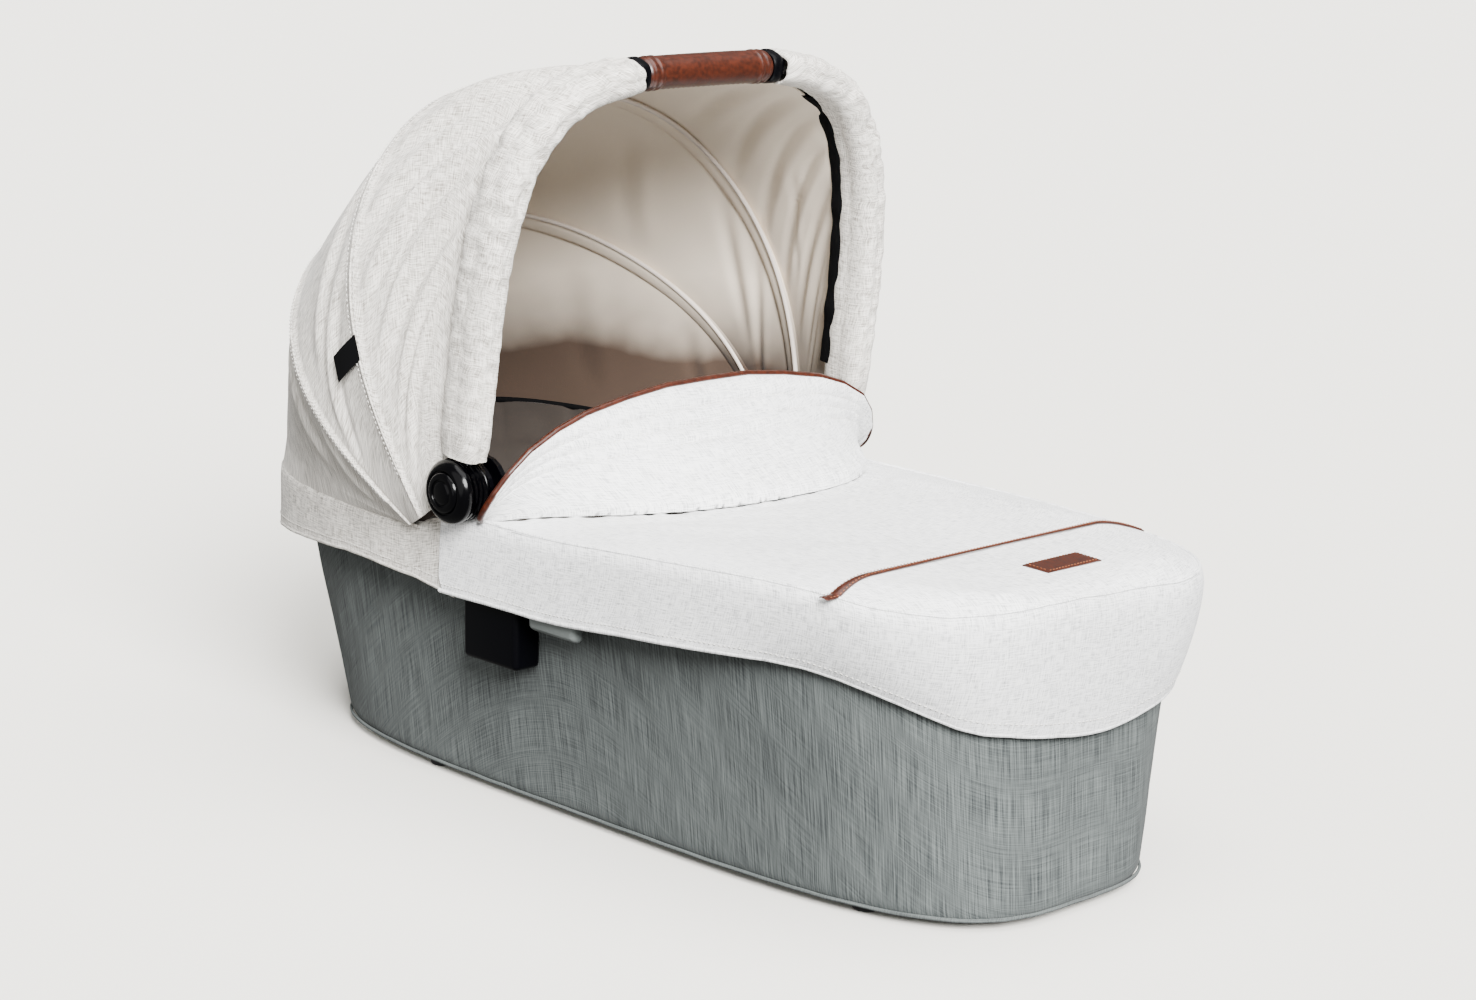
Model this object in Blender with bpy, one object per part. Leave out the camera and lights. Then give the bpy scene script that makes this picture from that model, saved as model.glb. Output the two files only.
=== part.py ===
"""Carrycot of a baby stroller, with its folding hood, apron and wind flap.

Metres, +Z up. The foot end lies towards -Y and the head end towards +Y.
The origin is on the ground, below the middle of the whole carrycot's box.
"""
import math
from collections import namedtuple

import bmesh
import bpy
from mathutils import Vector

# ---------------------------------------------------------------- driving sizes
# Outline of the fabric seam along the rim, and of the tub where it meets the base.
Outline = namedtuple("Outline", "half_width foot head foot_power head_power")
RIM_HALF_WIDTH = 0.2071
RIM_FOOT = 0.4172          # from the origin to the seam at the foot end
RIM_HEAD = 0.4428
BASE_HALF_WIDTH = 0.1545
BASE_FOOT = 0.3957
BASE_HEAD = 0.3734
RIM = Outline(RIM_HALF_WIDTH, RIM_FOOT, RIM_HEAD, 3.4, 3.3)
BASE = Outline(BASE_HALF_WIDTH, BASE_FOOT, BASE_HEAD, 3.6, 3.9)

CLEARANCE = 0.0003         # between pieces that touch
RUNNING = 0.0005           # round a piece that turns or slides
FLEX_GAP = 0.0012          # between curved fabric pieces

FOOT_HEIGHT = 0.006
FOOT_RADIUS = 0.011
FEET = {                   # end: distance of each foot from the middle line, and its place along it
    "foot": (BASE_HALF_WIDTH - 0.0345, 0.1087 - BASE_FOOT),
    "head": (BASE_HALF_WIDTH - 0.0185, BASE_HEAD - 0.1854),
}

RIM_TUBE_RADIUS = 0.009
RIM_TUBE_WALL = 0.0015
RIM_TUBE_Z = 0.234
RIM_TUBE_INSET = 0.0111    # seam outline to tube centre line

TUB_WALL = 0.004
TUB_FLOOR = 0.002
BOARD_THICKNESS = 0.006
LINER_WALL = 0.003
LINER_FLOOR = 0.002
LINER_GAP = 0.0115         # room for the stays between tub wall and liner
LINER_TOP_Z = RIM_TUBE_Z + 0.006
MATTRESS_THICKNESS = 0.030
MATTRESS_MARGIN = 0.0035

STAY_RADIUS = 0.002
STAY_HALF_WIDTH = 0.070
STAY_TOP_Z = RIM_TUBE_Z - 0.029
STAY_BEND = 0.035
CLIP_SIZE = (0.008, 0.006, 0.010)

FABRIC = 0.0025            # thickness of apron, band and hood panels
SEAM_Z = RIM_TUBE_Z + 0.0117
BAND_TOP_Z = RIM_TUBE_Z - 0.0065
BAND_START_Y = 0.1045      # where the skirt ends and the head band begins
BAND_DROP_SIDE = 0.042
BAND_DROP_HEAD = 0.056
SKIRT_DROP_HIP = 0.064     # skirt depth beside the hood hinge
SKIRT_DROP_CORNER = 0.044
SKIRT_DROP_FOOT = 0.098
SKIRT_FLARE = 0.0055
APRON_CROWN = 0.0170
APRON_FLATNESS = 4.0       # how long the apron stays level before it rolls down to its sides
APRON_ROLL = 16.0          # the same towards the foot end
APRON_SAG = 0.12           # share of the crown lost at the fold
APRON_CREST_Y = 0.1772 - RIM_FOOT
APRON_EDGE_Y = -0.076      # head edge of the apron on the centre line
APRON_EDGE_RISE = 0.108    # how far the edge sweeps towards the head at the sides

FLAP_HALF_WIDTH = RIM_HALF_WIDTH - 0.0321
FLAP_HEIGHT = 0.076
FLAP_LEAN = 38.0
FLAP_THICKNESS = 0.006
FLAP_PIPING_RADIUS = 0.0028
FLAP_GAP = 0.004

STRAP_Y = 0.1112 - RIM_FOOT
STRAP_WIDTH = 0.009
PATCH_Y = 0.0512 - RIM_FOOT
PATCH_SIZE = (0.060, 0.024)
LEATHER = 0.0014

HINGE_Y = 0.0720
HINGE_Z = RIM_TUBE_Z + 0.0362
BOW_HALF_WIDTH = RIM_HALF_WIDTH + 0.0102
BOW_HEIGHT = 0.3250        # hinge to the middle of the grip
BOW_POWER = 4.0
BOW_TILT = -6.4            # degrees from upright, towards the foot
BOW_SECTION = (0.0050, 0.0090)
BOW_WALL = 0.0015
BOW_FIT = 0.0012           # between the bow and what is threaded on it
BOW_SEAT = 0.0120          # the bow's ends reach this near the pin
GRIP_HALF_LENGTH = 0.0685
GRIP_SECTION = (0.0135, 0.0145)
GRIP_END_LENGTH = 0.0090
GRIP_END_SECTION = (0.0145, 0.0155)
SLEEVE_SECTION = (0.0160, 0.0225)

PIN_RADIUS = 0.0040
CAP_RADIUS = 0.0260
CAP_DEPTH = 0.0150
KNUCKLE_RADIUS = 0.0250
KNUCKLE_SPAN = (BOW_HALF_WIDTH - 0.0118, BOW_HALF_WIDTH + 0.0082)
DETENT_RADIUS = 0.0200
DETENT_SPAN = (BOW_HALF_WIDTH - 0.0166, BOW_HALF_WIDTH - 0.0123)
EYE_RADIUS = 0.0110
RIB_STRIP = (0.0010, 0.0040)
RIB_POWER = 4.0
RIBS = {                   # name: distance of the leg from the middle, height, angle
    "rib_front": (BOW_HALF_WIDTH - 0.0183, BOW_HEIGHT - 0.0130, 28.0),
    "rib_rear": (BOW_HALF_WIDTH - 0.0211, BOW_HEIGHT - 0.0170, 58.0),
}
PLATE_SPAN = (BOW_HALF_WIDTH - 0.0273, BOW_HALF_WIDTH - 0.0228)
PLATE_RADIUS = 0.0245

PANEL_HALF_WIDTH = BOW_HALF_WIDTH - 0.0033
PANEL_BULGE = 0.0230
PANEL_POWER = 2.9
PANEL_START = 0.0700       # distance of the panels' lower corner from the pin
PANEL_STEP = 0.0045        # each panel nests this far outside the one before
PANELS = {                 # name: nesting order, first and last angle from upright
    "hood_panel_front": (0, None, 34.0),
    "hood_panel_middle": (1, 32.0, 55.0),
    "hood_panel_rear": (2, 53.0, 78.5),
}
PANEL_HEIGHT = BOW_HEIGHT + 0.0080   # inner radius of the front panel
FIXED_PANEL_ROWS = (        # angle from upright, inner radius
    (77.0, PANEL_HEIGHT + 0.0175),
    (84.5, PANEL_HEIGHT + 0.0330),
    (92.0, PANEL_HEIGHT + 0.0470),
)

ADAPTER_Y = (0.0180, 0.0820)
ADAPTER_BOTTOM_Z = RIM_TUBE_Z - 0.1040
ADAPTER_OUTER_X = RIM_HALF_WIDTH + 0.0009
ADAPTER_BEVEL = 0.0030
ADAPTER_SLACK = 0.0009     # between the block's sloping back and the tub
CARRIER_Y = -0.0780
CARRIER_Z = RIM_TUBE_Z - 0.0375
SOCKET_X = (ADAPTER_OUTER_X - 0.0135, ADAPTER_OUTER_X - 0.0035)
SOCKET_Y = (0.0340, 0.0700)
SOCKET_TOP_Z = ADAPTER_BOTTOM_Z + 0.0600
BUTTON_PAD = (
    (ADAPTER_OUTER_X - 0.0135, -0.0690, CARRIER_Z - 0.0285),
    (ADAPTER_OUTER_X + 0.0008, -0.0090, CARRIER_Z - 0.0090),
)
BUTTON_STEM = (
    (ADAPTER_OUTER_X - 0.0085, -0.0620, CARRIER_Z - 0.0105),
    (ADAPTER_OUTER_X - 0.0028, -0.0160, CARRIER_Z + 0.0095),
)
BUTTON_TRAVEL = 0.0080
BOLT = (
    (ADAPTER_OUTER_X - 0.0117, 0.0245, CARRIER_Z - 0.0197),
    (ADAPTER_OUTER_X - 0.0053, 0.0385, CARRIER_Z - 0.0133),
)
BOLT_TRAVEL = 0.0040
SPRING_TURNS = 4
SPRING_WIRE = 0.0004
SPRING_RADIUS = 0.0018

SIDES = {"left": -1, "right": 1}
PLAN_STEPS = 36           # corners of a closed plan ring
ROUND_STEPS = 18          # corners of a turned piece


# ---------------------------------------------------------------- scene and materials
def clear_scene():
    for thing in list(bpy.data.objects):
        bpy.data.objects.remove(thing, do_unlink=True)


MATERIALS = {
    "oatmeal_fabric": ((0.70, 0.67, 0.61), 0.90, 0.0),
    "apron_fabric": ((0.78, 0.78, 0.76), 0.90, 0.0),
    "tub_fabric": ((0.21, 0.23, 0.22), 0.92, 0.0),
    "lining_fabric": ((0.20, 0.16, 0.13), 0.90, 0.0),
    "mattress_fabric": ((0.80, 0.79, 0.76), 0.90, 0.0),
    "tan_leather": ((0.26, 0.085, 0.032), 0.50, 0.0),
    "black_plastic": ((0.012, 0.012, 0.013), 0.25, 0.0),
    "black_rubber": ((0.015, 0.015, 0.015), 0.70, 0.0),
    "grey_button": ((0.40, 0.42, 0.42), 0.45, 0.0),
    "board_plastic": ((0.10, 0.10, 0.10), 0.60, 0.0),
    "tube_aluminium": ((0.60, 0.61, 0.62), 0.35, 1.0),
    "spring_steel": ((0.55, 0.55, 0.56), 0.30, 1.0),
}


def material(name):
    made = bpy.data.materials.get(name)
    if made is None:
        colour, roughness, metallic = MATERIALS[name]
        made = bpy.data.materials.new(name)
        made.use_nodes = True
        shader = made.node_tree.nodes["Principled BSDF"]
        shader.inputs["Base Color"].default_value = (*colour, 1.0)
        shader.inputs["Roughness"].default_value = roughness
        shader.inputs["Metallic"].default_value = metallic
    return made


# ---------------------------------------------------------------- solids from points
def add_object(name, points, faces, finish, parent=None):
    """A mesh object in world coordinates, faces turned outwards."""
    mesh = bpy.data.meshes.new(name)
    mesh.from_pydata([tuple(p) for p in points], [], faces)
    mesh.validate()
    turn_outwards(mesh)
    mesh.shade_smooth()
    mesh.set_sharp_from_angle(angle=math.radians(40))
    mesh.materials.append(material(finish))
    thing = bpy.data.objects.new(name, mesh)
    bpy.context.scene.collection.objects.link(thing)
    if parent is not None:
        thing.parent = parent
        thing.matrix_parent_inverse = parent.matrix_world.inverted()
    return thing


def turn_outwards(mesh):
    work = bmesh.new()
    work.from_mesh(mesh)
    bmesh.ops.recalc_face_normals(work, faces=work.faces)
    work.to_mesh(mesh)
    work.free()


def ring_solid(name, rings, finish, parent=None):
    """Closed solid through rings of equal count, with a flat cap on the first and last."""
    count = len(rings[0])
    points = [p for ring in rings for p in ring]
    faces = [list(range(count)), list(range(len(points) - count, len(points)))]
    for level in range(len(rings) - 1):
        start = level * count
        for i in range(count):
            j = (i + 1) % count
            faces.append([start + i, start + j, start + count + j, start + count + i])
    return add_object(name, points, faces, finish, parent)


def tube_solid(name, outer, inner, finish, parent=None, closed=False):
    """Hollow sweep: outer and inner rings along one path, joined at its two ends."""
    count, length = len(outer[0]), len(outer)
    points = [p for ring in outer for p in ring] + [p for ring in inner for p in ring]
    offset = count * length
    faces = []
    for level in range(length - 1):
        for i in range(count):
            j = (i + 1) % count
            a, b = level * count + i, level * count + j
            c, d = b + count, a + count
            faces.append([a, b, c, d])
            faces.append([offset + d, offset + c, offset + b, offset + a])
    for start in (0, (length - 1) * count):
        for i in range(count):
            j = (i + 1) % count
            faces.append([start + i, start + j, offset + start + j, offset + start + i])
    return add_object(name, points, faces, finish, parent)


def sheet(name, rows, thickness, finish, outward, parent=None):
    """Open grid given a wall by Solidify, which grows away from the outward side."""
    wide = len(rows[0])
    points = [p for row in rows for p in row]
    faces = []
    for r in range(len(rows) - 1):
        for c in range(wide - 1):
            a = r * wide + c
            faces.append([a, a + 1, a + 1 + wide, a + wide])
    mesh = bpy.data.meshes.new(name)
    mesh.from_pydata(points, [], faces)
    middle = mesh.polygons[len(mesh.polygons) // 2]
    side = sum(n * o for n, o in zip(middle.normal, outward(middle.center)))
    if side < 0:
        mesh.flip_normals()
    mesh.shade_smooth()
    mesh.materials.append(material(finish))
    thing = bpy.data.objects.new(name, mesh)
    bpy.context.scene.collection.objects.link(thing)
    wall = thing.modifiers.new("wall", "SOLIDIFY")
    wall.thickness = thickness
    wall.offset = -1
    wall.use_even_offset = False
    if parent is not None:
        thing.parent = parent
        thing.matrix_parent_inverse = parent.matrix_world.inverted()
    return thing


def box(name, low, high, finish, parent=None, bevel=0.0, segments=2):
    """Box between two corners, which may be given in either order."""
    low, high = [min(a, b) for a, b in zip(low, high)], [max(a, b) for a, b in zip(low, high)]
    rings = []
    for z in (low[2], high[2]):
        rings.append([(low[0], low[1], z), (high[0], low[1], z), (high[0], high[1], z), (low[0], high[1], z)])
    thing = ring_solid(name, rings, finish, parent)
    if bevel:
        edge = thing.modifiers.new("edge", "BEVEL")
        edge.width = bevel
        edge.segments = segments
    return thing


def turned(name, profile, side, finish, parent=None, steps=ROUND_STEPS, centre=(HINGE_Y, HINGE_Z)):
    """Solid turned about the hinge axis: profile gives (distance from the middle, radius)."""
    rings = []
    for x, radius in profile:
        ring = []
        for i in range(steps):
            turn = 2 * math.pi * (i + 0.5) / steps
            ring.append((side * x, centre[0] + radius * math.cos(turn), centre[1] + radius * math.sin(turn)))
        rings.append(ring)
    return ring_solid(name, rings, finish, parent)


def boolean(thing, tool, operation="DIFFERENCE"):
    """Cuts the tool from the piece, or joins it, and keeps the tool out of the build."""
    cut = thing.modifiers.new(tool.name, "BOOLEAN")
    cut.operation = operation
    cut.solver = "EXACT"
    cut.object = tool
    tool.hide_render = True
    tool.display_type = "WIRE"


# ---------------------------------------------------------------- the rim's plan
def grown(outline, distance):
    return outline._replace(
        half_width=outline.half_width + distance,
        foot=outline.foot + distance,
        head=outline.head + distance,
    )


def level(z):
    """The tub's outer outline at a height: it widens evenly from base to rim tube."""
    top = grown(RIM, -RIM_TUBE_INSET - CLEARANCE)
    low_z, high_z = FOOT_HEIGHT, RIM_TUBE_Z - RIM_TUBE_RADIUS
    share = (z - low_z) / (high_z - low_z)
    return Outline(*(a + (b - a) * share for a, b in zip(BASE, top)))


def plan_point(outline, turn):
    """Point of the outline at a turn angle, measured from +X towards the head end."""
    c, s = math.cos(turn), math.sin(turn)
    length, power = (outline.head, outline.head_power) if s >= 0 else (outline.foot, outline.foot_power)
    x = outline.half_width * math.copysign(abs(c) ** (2 / power), c)
    y = length * math.copysign(abs(s) ** (2 / power), s)
    return x, y


def plan_ring(outline, z, steps=PLAN_STEPS):
    return [(*plan_point(outline, 2 * math.pi * (i + 0.5) / steps), z) for i in range(steps)]


def turn_at_y(outline, y):
    """Turn angle, on the +X side, where the outline passes y."""
    length, power = (outline.head, outline.head_power) if y >= 0 else (outline.foot, outline.foot_power)
    return math.copysign(math.asin((abs(y) / length) ** (power / 2)), y)


def width_at_y(outline, y):
    return plan_point(outline, turn_at_y(outline, y))[0]


def end_y(outline, x, end):
    """Where the outline's end wall stands at x, for end -1 (foot) or +1 (head)."""
    length, power = (outline.head, outline.head_power) if end > 0 else (outline.foot, outline.foot_power)
    return end * length * (1 - (abs(x) / outline.half_width) ** power) ** (1 / power)


# ---------------------------------------------------------------- sweeps
def section_ring(centre, across, along, half_sizes, steps):
    """Oval ring round a centre, in the plane of two unit vectors."""
    ring = []
    for i in range(steps):
        turn = 2 * math.pi * (i + 0.5) / steps
        a, b = half_sizes[0] * math.cos(turn), half_sizes[1] * math.sin(turn)
        ring.append(tuple(centre[k] + a * across[k] + b * along[k] for k in range(3)))
    return ring


def planar_rings(path, normal, half_sizes, steps, runs=None):
    """Oval rings along a path in one plane: half_sizes in the plane, then along its normal.

    runs gives the path's exact direction at each point, so that pieces cut from one curve meet squarely.
    """
    rings = []
    for i, point in enumerate(path):
        before, after = path[max(i - 1, 0)], path[min(i + 1, len(path) - 1)]
        run = runs[i] if runs else [b - a for a, b in zip(before, after)]
        size = math.sqrt(sum(c * c for c in run))
        run = [c / size for c in run]
        across = (
            run[1] * normal[2] - run[2] * normal[1],
            run[2] * normal[0] - run[0] * normal[2],
            run[0] * normal[1] - run[1] * normal[0],
        )
        rings.append(section_ring(point, across, normal, half_sizes, steps))
    return rings


def hinge_point(x, radius, angle):
    """Point beside the hinge axis: angle in degrees from upright, towards the head end."""
    turn = math.radians(angle)
    return (x, HINGE_Y + radius * math.sin(turn), HINGE_Z + radius * math.cos(turn))


def hinge_normal(angle):
    """Unit vector square to the plane of a bow at this angle."""
    turn = math.radians(angle)
    return (0.0, math.cos(turn), -math.sin(turn))


def bow_curve(half_width, height, power, turn):
    """(x, distance from the pin) of a bow at a turn angle, 0 at the right pin, pi at the left."""
    c, s = math.cos(turn), math.sin(turn)
    return half_width * math.copysign(abs(c) ** (2 / power), c), height * abs(s) ** (2 / power)


def bow_turn_at_radius(radius, height, power):
    return math.asin((radius / height) ** (power / 2))


def bow_turn_at_x(x, half_width, power):
    return math.acos((x / half_width) ** (power / 2))


def bow_path(half_width, height, power, angle, start, end, steps):
    path = []
    for i in range(steps + 1):
        x, radius = bow_curve(half_width, height, power, start + (end - start) * i / steps)
        path.append(hinge_point(x, radius, angle))
    return path


# ---------------------------------------------------------------- base and tub
def make_feet():
    for end, (x, y) in FEET.items():
        for hand, side in SIDES.items():
            low, high = 0.0, FOOT_HEIGHT - CLEARANCE
            rings = []
            for z, radius in ((low, FOOT_RADIUS - 0.001), (low + 0.001, FOOT_RADIUS), (high, FOOT_RADIUS)):
                rings.append([
                    (side * x + radius * math.cos(math.tau * i / 16), y + radius * math.sin(math.tau * i / 16), z)
                    for i in range(16)
                ])
            ring_solid(f"foot_{end}_{hand}", rings, "black_rubber")


def board_floor_z():
    return FOOT_HEIGHT + TUB_FLOOR + CLEARANCE


def board_top_z():
    return board_floor_z() + BOARD_THICKNESS


def liner_outer(z):
    """The liner stands inside the tub, and inside the rim tube higher up."""
    low_z = board_top_z() + CLEARANCE
    low = grown(level(low_z), -TUB_WALL - LINER_GAP)
    high = grown(RIM, -RIM_TUBE_INSET - RIM_TUBE_RADIUS - FLEX_GAP)
    share = (z - low_z) / (LINER_TOP_Z - low_z)
    return Outline(*(a + (b - a) * share for a, b in zip(low, high)))


def make_tub():
    top_z = RIM_TUBE_Z - RIM_TUBE_RADIUS - CLEARANCE
    edge = 0.003
    heights = (FOOT_HEIGHT + edge, 0.080, 0.150, top_z)
    rings = [plan_ring(grown(level(FOOT_HEIGHT), -edge), FOOT_HEIGHT)]
    rings += [plan_ring(level(z), z) for z in heights]
    floor_z = FOOT_HEIGHT + TUB_FLOOR
    rings += [plan_ring(grown(level(z), -TUB_WALL), z) for z in (top_z, 0.150, 0.080, floor_z)]
    ring_solid("tub_wall", rings, "tub_fabric")

    low, high = board_floor_z(), board_top_z()
    inside = grown(level(low), -TUB_WALL - FLEX_GAP)
    chamfer = 0.0015
    ring_solid("base_board", [
        plan_ring(grown(inside, -chamfer), low),
        plan_ring(inside, low + chamfer),
        plan_ring(inside, high - chamfer),
        plan_ring(grown(inside, -chamfer), high),
    ], "board_plastic")

    low = board_top_z() + CLEARANCE
    floor = low + LINER_FLOOR
    middle = (low + LINER_TOP_Z) / 2
    rings = [plan_ring(liner_outer(z), z) for z in (low, middle, LINER_TOP_Z)]
    rings += [plan_ring(grown(liner_outer(z), -LINER_WALL), z) for z in (LINER_TOP_Z, middle, floor)]
    ring_solid("inner_liner", rings, "lining_fabric")

    low = floor + CLEARANCE
    high = low + MATTRESS_THICKNESS
    inside = grown(liner_outer(low), -LINER_WALL - MATTRESS_MARGIN)
    round_off = 0.008
    ring_solid("mattress", [
        plan_ring(grown(inside, -round_off), low),
        plan_ring(inside, low + round_off),
        plan_ring(inside, high - round_off),
        plan_ring(grown(inside, -round_off), high),
    ], "mattress_fabric")


def stay_outline(z):
    """Midway between the tub's inner face and the liner."""
    inner_face, liner = grown(level(z), -TUB_WALL), liner_outer(z)
    return Outline(*((a + b) / 2 for a, b in zip(inner_face, liner)))


def make_stays():
    """Wire stays that hold the tub's two ends up, each clipped to the base board."""
    foot_z = board_top_z() + CLEARANCE
    start_z = foot_z + CLIP_SIZE[2] / 2
    for end_name, end in (("foot", -1), ("head", 1)):
        route = []
        corner = [(STAY_HALF_WIDTH - STAY_BEND * (1 - math.cos(a)), STAY_TOP_Z - STAY_BEND * (1 - math.sin(a)))
                  for a in [math.pi / 2 * k / 5 for k in range(6)]]
        side = [(STAY_HALF_WIDTH, start_z + (STAY_TOP_Z - STAY_BEND - start_z) * k / 6) for k in range(6)]
        half = side + corner
        for x, z in half + [(-x, z) for x, z in reversed(half)]:
            route.append((x, end_y(stay_outline(z), x, end), z))
        low, high = route[0], route[len(half) - 1]
        rise = (high[1] - low[1], high[2] - low[2])
        size = math.hypot(*rise)
        normal = (0.0, rise[1] / size, -rise[0] / size)
        rings = planar_rings(route, normal, (STAY_RADIUS, STAY_RADIUS), 8)
        ring_solid(f"stay_{end_name}", rings, "spring_steel")

        for hand, side_sign in SIDES.items():
            x, y = side_sign * STAY_HALF_WIDTH, route[0][1]
            half_sizes = (CLIP_SIZE[0] / 2, CLIP_SIZE[1] / 2)
            clip = box(f"stay_clip_{end_name}_{hand}",
                       (x - half_sizes[0], y - half_sizes[1], foot_z),
                       (x + half_sizes[0], y + half_sizes[1], foot_z + CLIP_SIZE[2]), "black_plastic")
            run = [(b - a) / math.dist(route[0], route[1]) for a, b in zip(route[0], route[1])]
            reach = (-RUNNING, 2 * CLIP_SIZE[2])
            core = [(x, y + run[1] * d, start_z + run[2] * d) for d in reach]
            wide = (STAY_RADIUS + RUNNING) / math.cos(math.pi / 8)
            bore = ring_solid(f"stay_bore_{end_name}_{hand}", planar_rings(core, normal, (wide, wide), 8),
                              "black_plastic")
            boolean(clip, bore)


# ---------------------------------------------------------------- rim
def make_rim():
    """Two U-shaped tubes that meet over the adapters, on a peg inside each joint."""
    centre = grown(RIM, -RIM_TUBE_INSET)
    joint_y = sum(ADAPTER_Y) / 2
    for end_name, end in (("head", 1), ("foot", -1)):
        start = turn_at_y(centre, joint_y + end * CLEARANCE)
        finish = math.pi - start if end > 0 else -math.pi - start
        steps = 16
        path = []
        for i in range(steps + 1):
            path.append((*plan_point(centre, start + (finish - start) * i / steps), RIM_TUBE_Z))
        outer = planar_rings(path, (0, 0, 1), (RIM_TUBE_RADIUS, RIM_TUBE_RADIUS), 8)
        bore = RIM_TUBE_RADIUS - RIM_TUBE_WALL
        inner = planar_rings(path, (0, 0, 1), (bore, bore), 8)
        tube_solid(f"rim_tube_{end_name}", outer, inner, "tube_aluminium")
    for hand, side in SIDES.items():
        x = side * width_at_y(centre, joint_y)
        radius = (RIM_TUBE_RADIUS - RIM_TUBE_WALL) * math.cos(math.pi / 8) - 2 * CLEARANCE
        rings = []
        for y in (joint_y - 0.025, joint_y + 0.025):
            rings.append(section_ring((x, y, RIM_TUBE_Z), (1, 0, 0), (0, 0, 1), (radius, radius), 12))
        ring_solid(f"rim_peg_{hand}", rings, "board_plastic")


# ---------------------------------------------------------------- side adapters
def make_adapters():
    """Blocks under the rim that take the chassis posts, each with its release."""
    top_z = RIM_TUBE_Z - RIM_TUBE_RADIUS - CLEARANCE
    for hand, side in SIDES.items():
        back_low = level(ADAPTER_BOTTOM_Z).half_width + ADAPTER_SLACK
        back_high = level(top_z).half_width + ADAPTER_SLACK
        rings = []
        for z, back in ((ADAPTER_BOTTOM_Z, back_low), (top_z, back_high)):
            rings.append([
                (side * back, ADAPTER_Y[0], z), (side * ADAPTER_OUTER_X, ADAPTER_Y[0], z),
                (side * ADAPTER_OUTER_X, ADAPTER_Y[1], z), (side * back, ADAPTER_Y[1], z),
            ])
        block = ring_solid(f"adapter_{hand}", rings, "black_plastic")
        rim = block.modifiers.new("edges", "BEVEL")
        rim.width = ADAPTER_BEVEL
        rim.segments = 2

        carrier = box(f"carrier_{hand}", (side * (back_high + CLEARANCE), CARRIER_Y, CARRIER_Z),
                      (side * ADAPTER_OUTER_X, ADAPTER_Y[0] + 0.006, top_z), "black_plastic")
        boolean(block, carrier, "UNION")
        socket = box(f"socket_{hand}", (side * SOCKET_X[0], SOCKET_Y[0], ADAPTER_BOTTOM_Z - 0.010),
                     (side * SOCKET_X[1], SOCKET_Y[1], SOCKET_TOP_Z), "black_plastic")
        boolean(block, socket)
        guide = box(f"guide_{hand}",
                    (side * (BUTTON_STEM[0][0] - RUNNING), BUTTON_STEM[0][1] - RUNNING, CARRIER_Z - 0.005),
                    (side * (BUTTON_STEM[1][0] + RUNNING), BUTTON_STEM[1][1] + RUNNING,
                     BUTTON_STEM[1][2] + BUTTON_TRAVEL + 0.0035), "black_plastic")
        boolean(block, guide)
        keep = box(f"bolt_keep_{hand}",
                   (side * (BOLT[0][0] - RUNNING), BOLT[0][1] - BOLT_TRAVEL - RUNNING, BOLT[0][2] - RUNNING),
                   (side * (BOLT[1][0] + RUNNING), SOCKET_Y[0] + 0.002, BOLT[1][2] + RUNNING), "black_plastic")
        boolean(block, keep)

        low, high = BUTTON_PAD
        button = box(f"release_button_{hand}", (side * low[0], low[1], low[2]),
                     (side * high[0], high[1], high[2]), "grey_button", bevel=0.003, segments=3)
        low, high = BUTTON_STEM
        stem = box(f"stem_{hand}", (side * low[0], low[1], low[2]), (side * high[0], high[1], high[2]),
                   "grey_button")
        boolean(button, stem, "UNION")

        low, high = BOLT
        box(f"latch_bolt_{hand}", (side * low[0], low[1], low[2]), (side * high[0], high[1], high[2]),
            "spring_steel", bevel=0.0008, segments=1)
        make_spring(hand, side)


def make_spring(hand, side):
    """Return spring between the button's stem and the roof of its guide."""
    low = BUTTON_STEM[1][2] + SPRING_WIRE + CLEARANCE
    high = BUTTON_STEM[1][2] + BUTTON_TRAVEL + 0.0035 - SPRING_WIRE - CLEARANCE
    x = side * (BUTTON_STEM[0][0] + BUTTON_STEM[1][0]) / 2
    y = (BUTTON_STEM[0][1] + BUTTON_STEM[1][1]) / 2
    steps = SPRING_TURNS * 8
    rings = []
    for i in range(steps + 1):
        turn = math.tau * SPRING_TURNS * i / steps
        radial = (math.cos(turn), math.sin(turn), 0.0)
        centre = (x + SPRING_RADIUS * radial[0], y + SPRING_RADIUS * radial[1], low + (high - low) * i / steps)
        rings.append(section_ring(centre, radial, (0.0, 0.0, 1.0), (SPRING_WIRE, SPRING_WIRE), 5))
    ring_solid(f"button_spring_{hand}", rings, "spring_steel")


# ---------------------------------------------------------------- apron, skirt and band
def wrap_rows(turns, top_z, drop, flare):
    """Rows of a fabric strip hung outside the rim: drop(y) is its depth at each place."""
    rows = []
    for share in (0.0, 0.35, 0.7, 1.0):
        outline = grown(RIM, 0.002 + flare * share)
        row = []
        for turn in turns:
            x, y = plan_point(outline, turn)
            row.append((x, y, top_z - drop(x, y) * share))
        rows.append(row)
    return rows


def from_middle(point):
    return (point[0], point[1], 0.0)


def skirt_drop(x, y):
    """Skirt depth: even along the sides, shallower at the corners, deepest at the foot."""
    along = min(max(-y / (RIM_FOOT * 0.86), 0.0), 1.0)
    side = SKIRT_DROP_HIP + (SKIRT_DROP_CORNER - SKIRT_DROP_HIP) * along ** 1.5
    across = max(0.0, 1.0 - (abs(x) / (RIM_HALF_WIDTH * 1.02)) ** 2.2)
    end = max(0.0, (-y / RIM_FOOT - 0.80) / 0.20)
    return side + (SKIRT_DROP_FOOT - side) * across * min(end, 1.0)


def band_drop(x, y):
    share = min(max((y - BAND_START_Y) / (RIM_HEAD - BAND_START_Y), 0.0), 1.0)
    return BAND_DROP_SIDE + (BAND_DROP_HEAD - BAND_DROP_SIDE) * share ** 3


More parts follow.
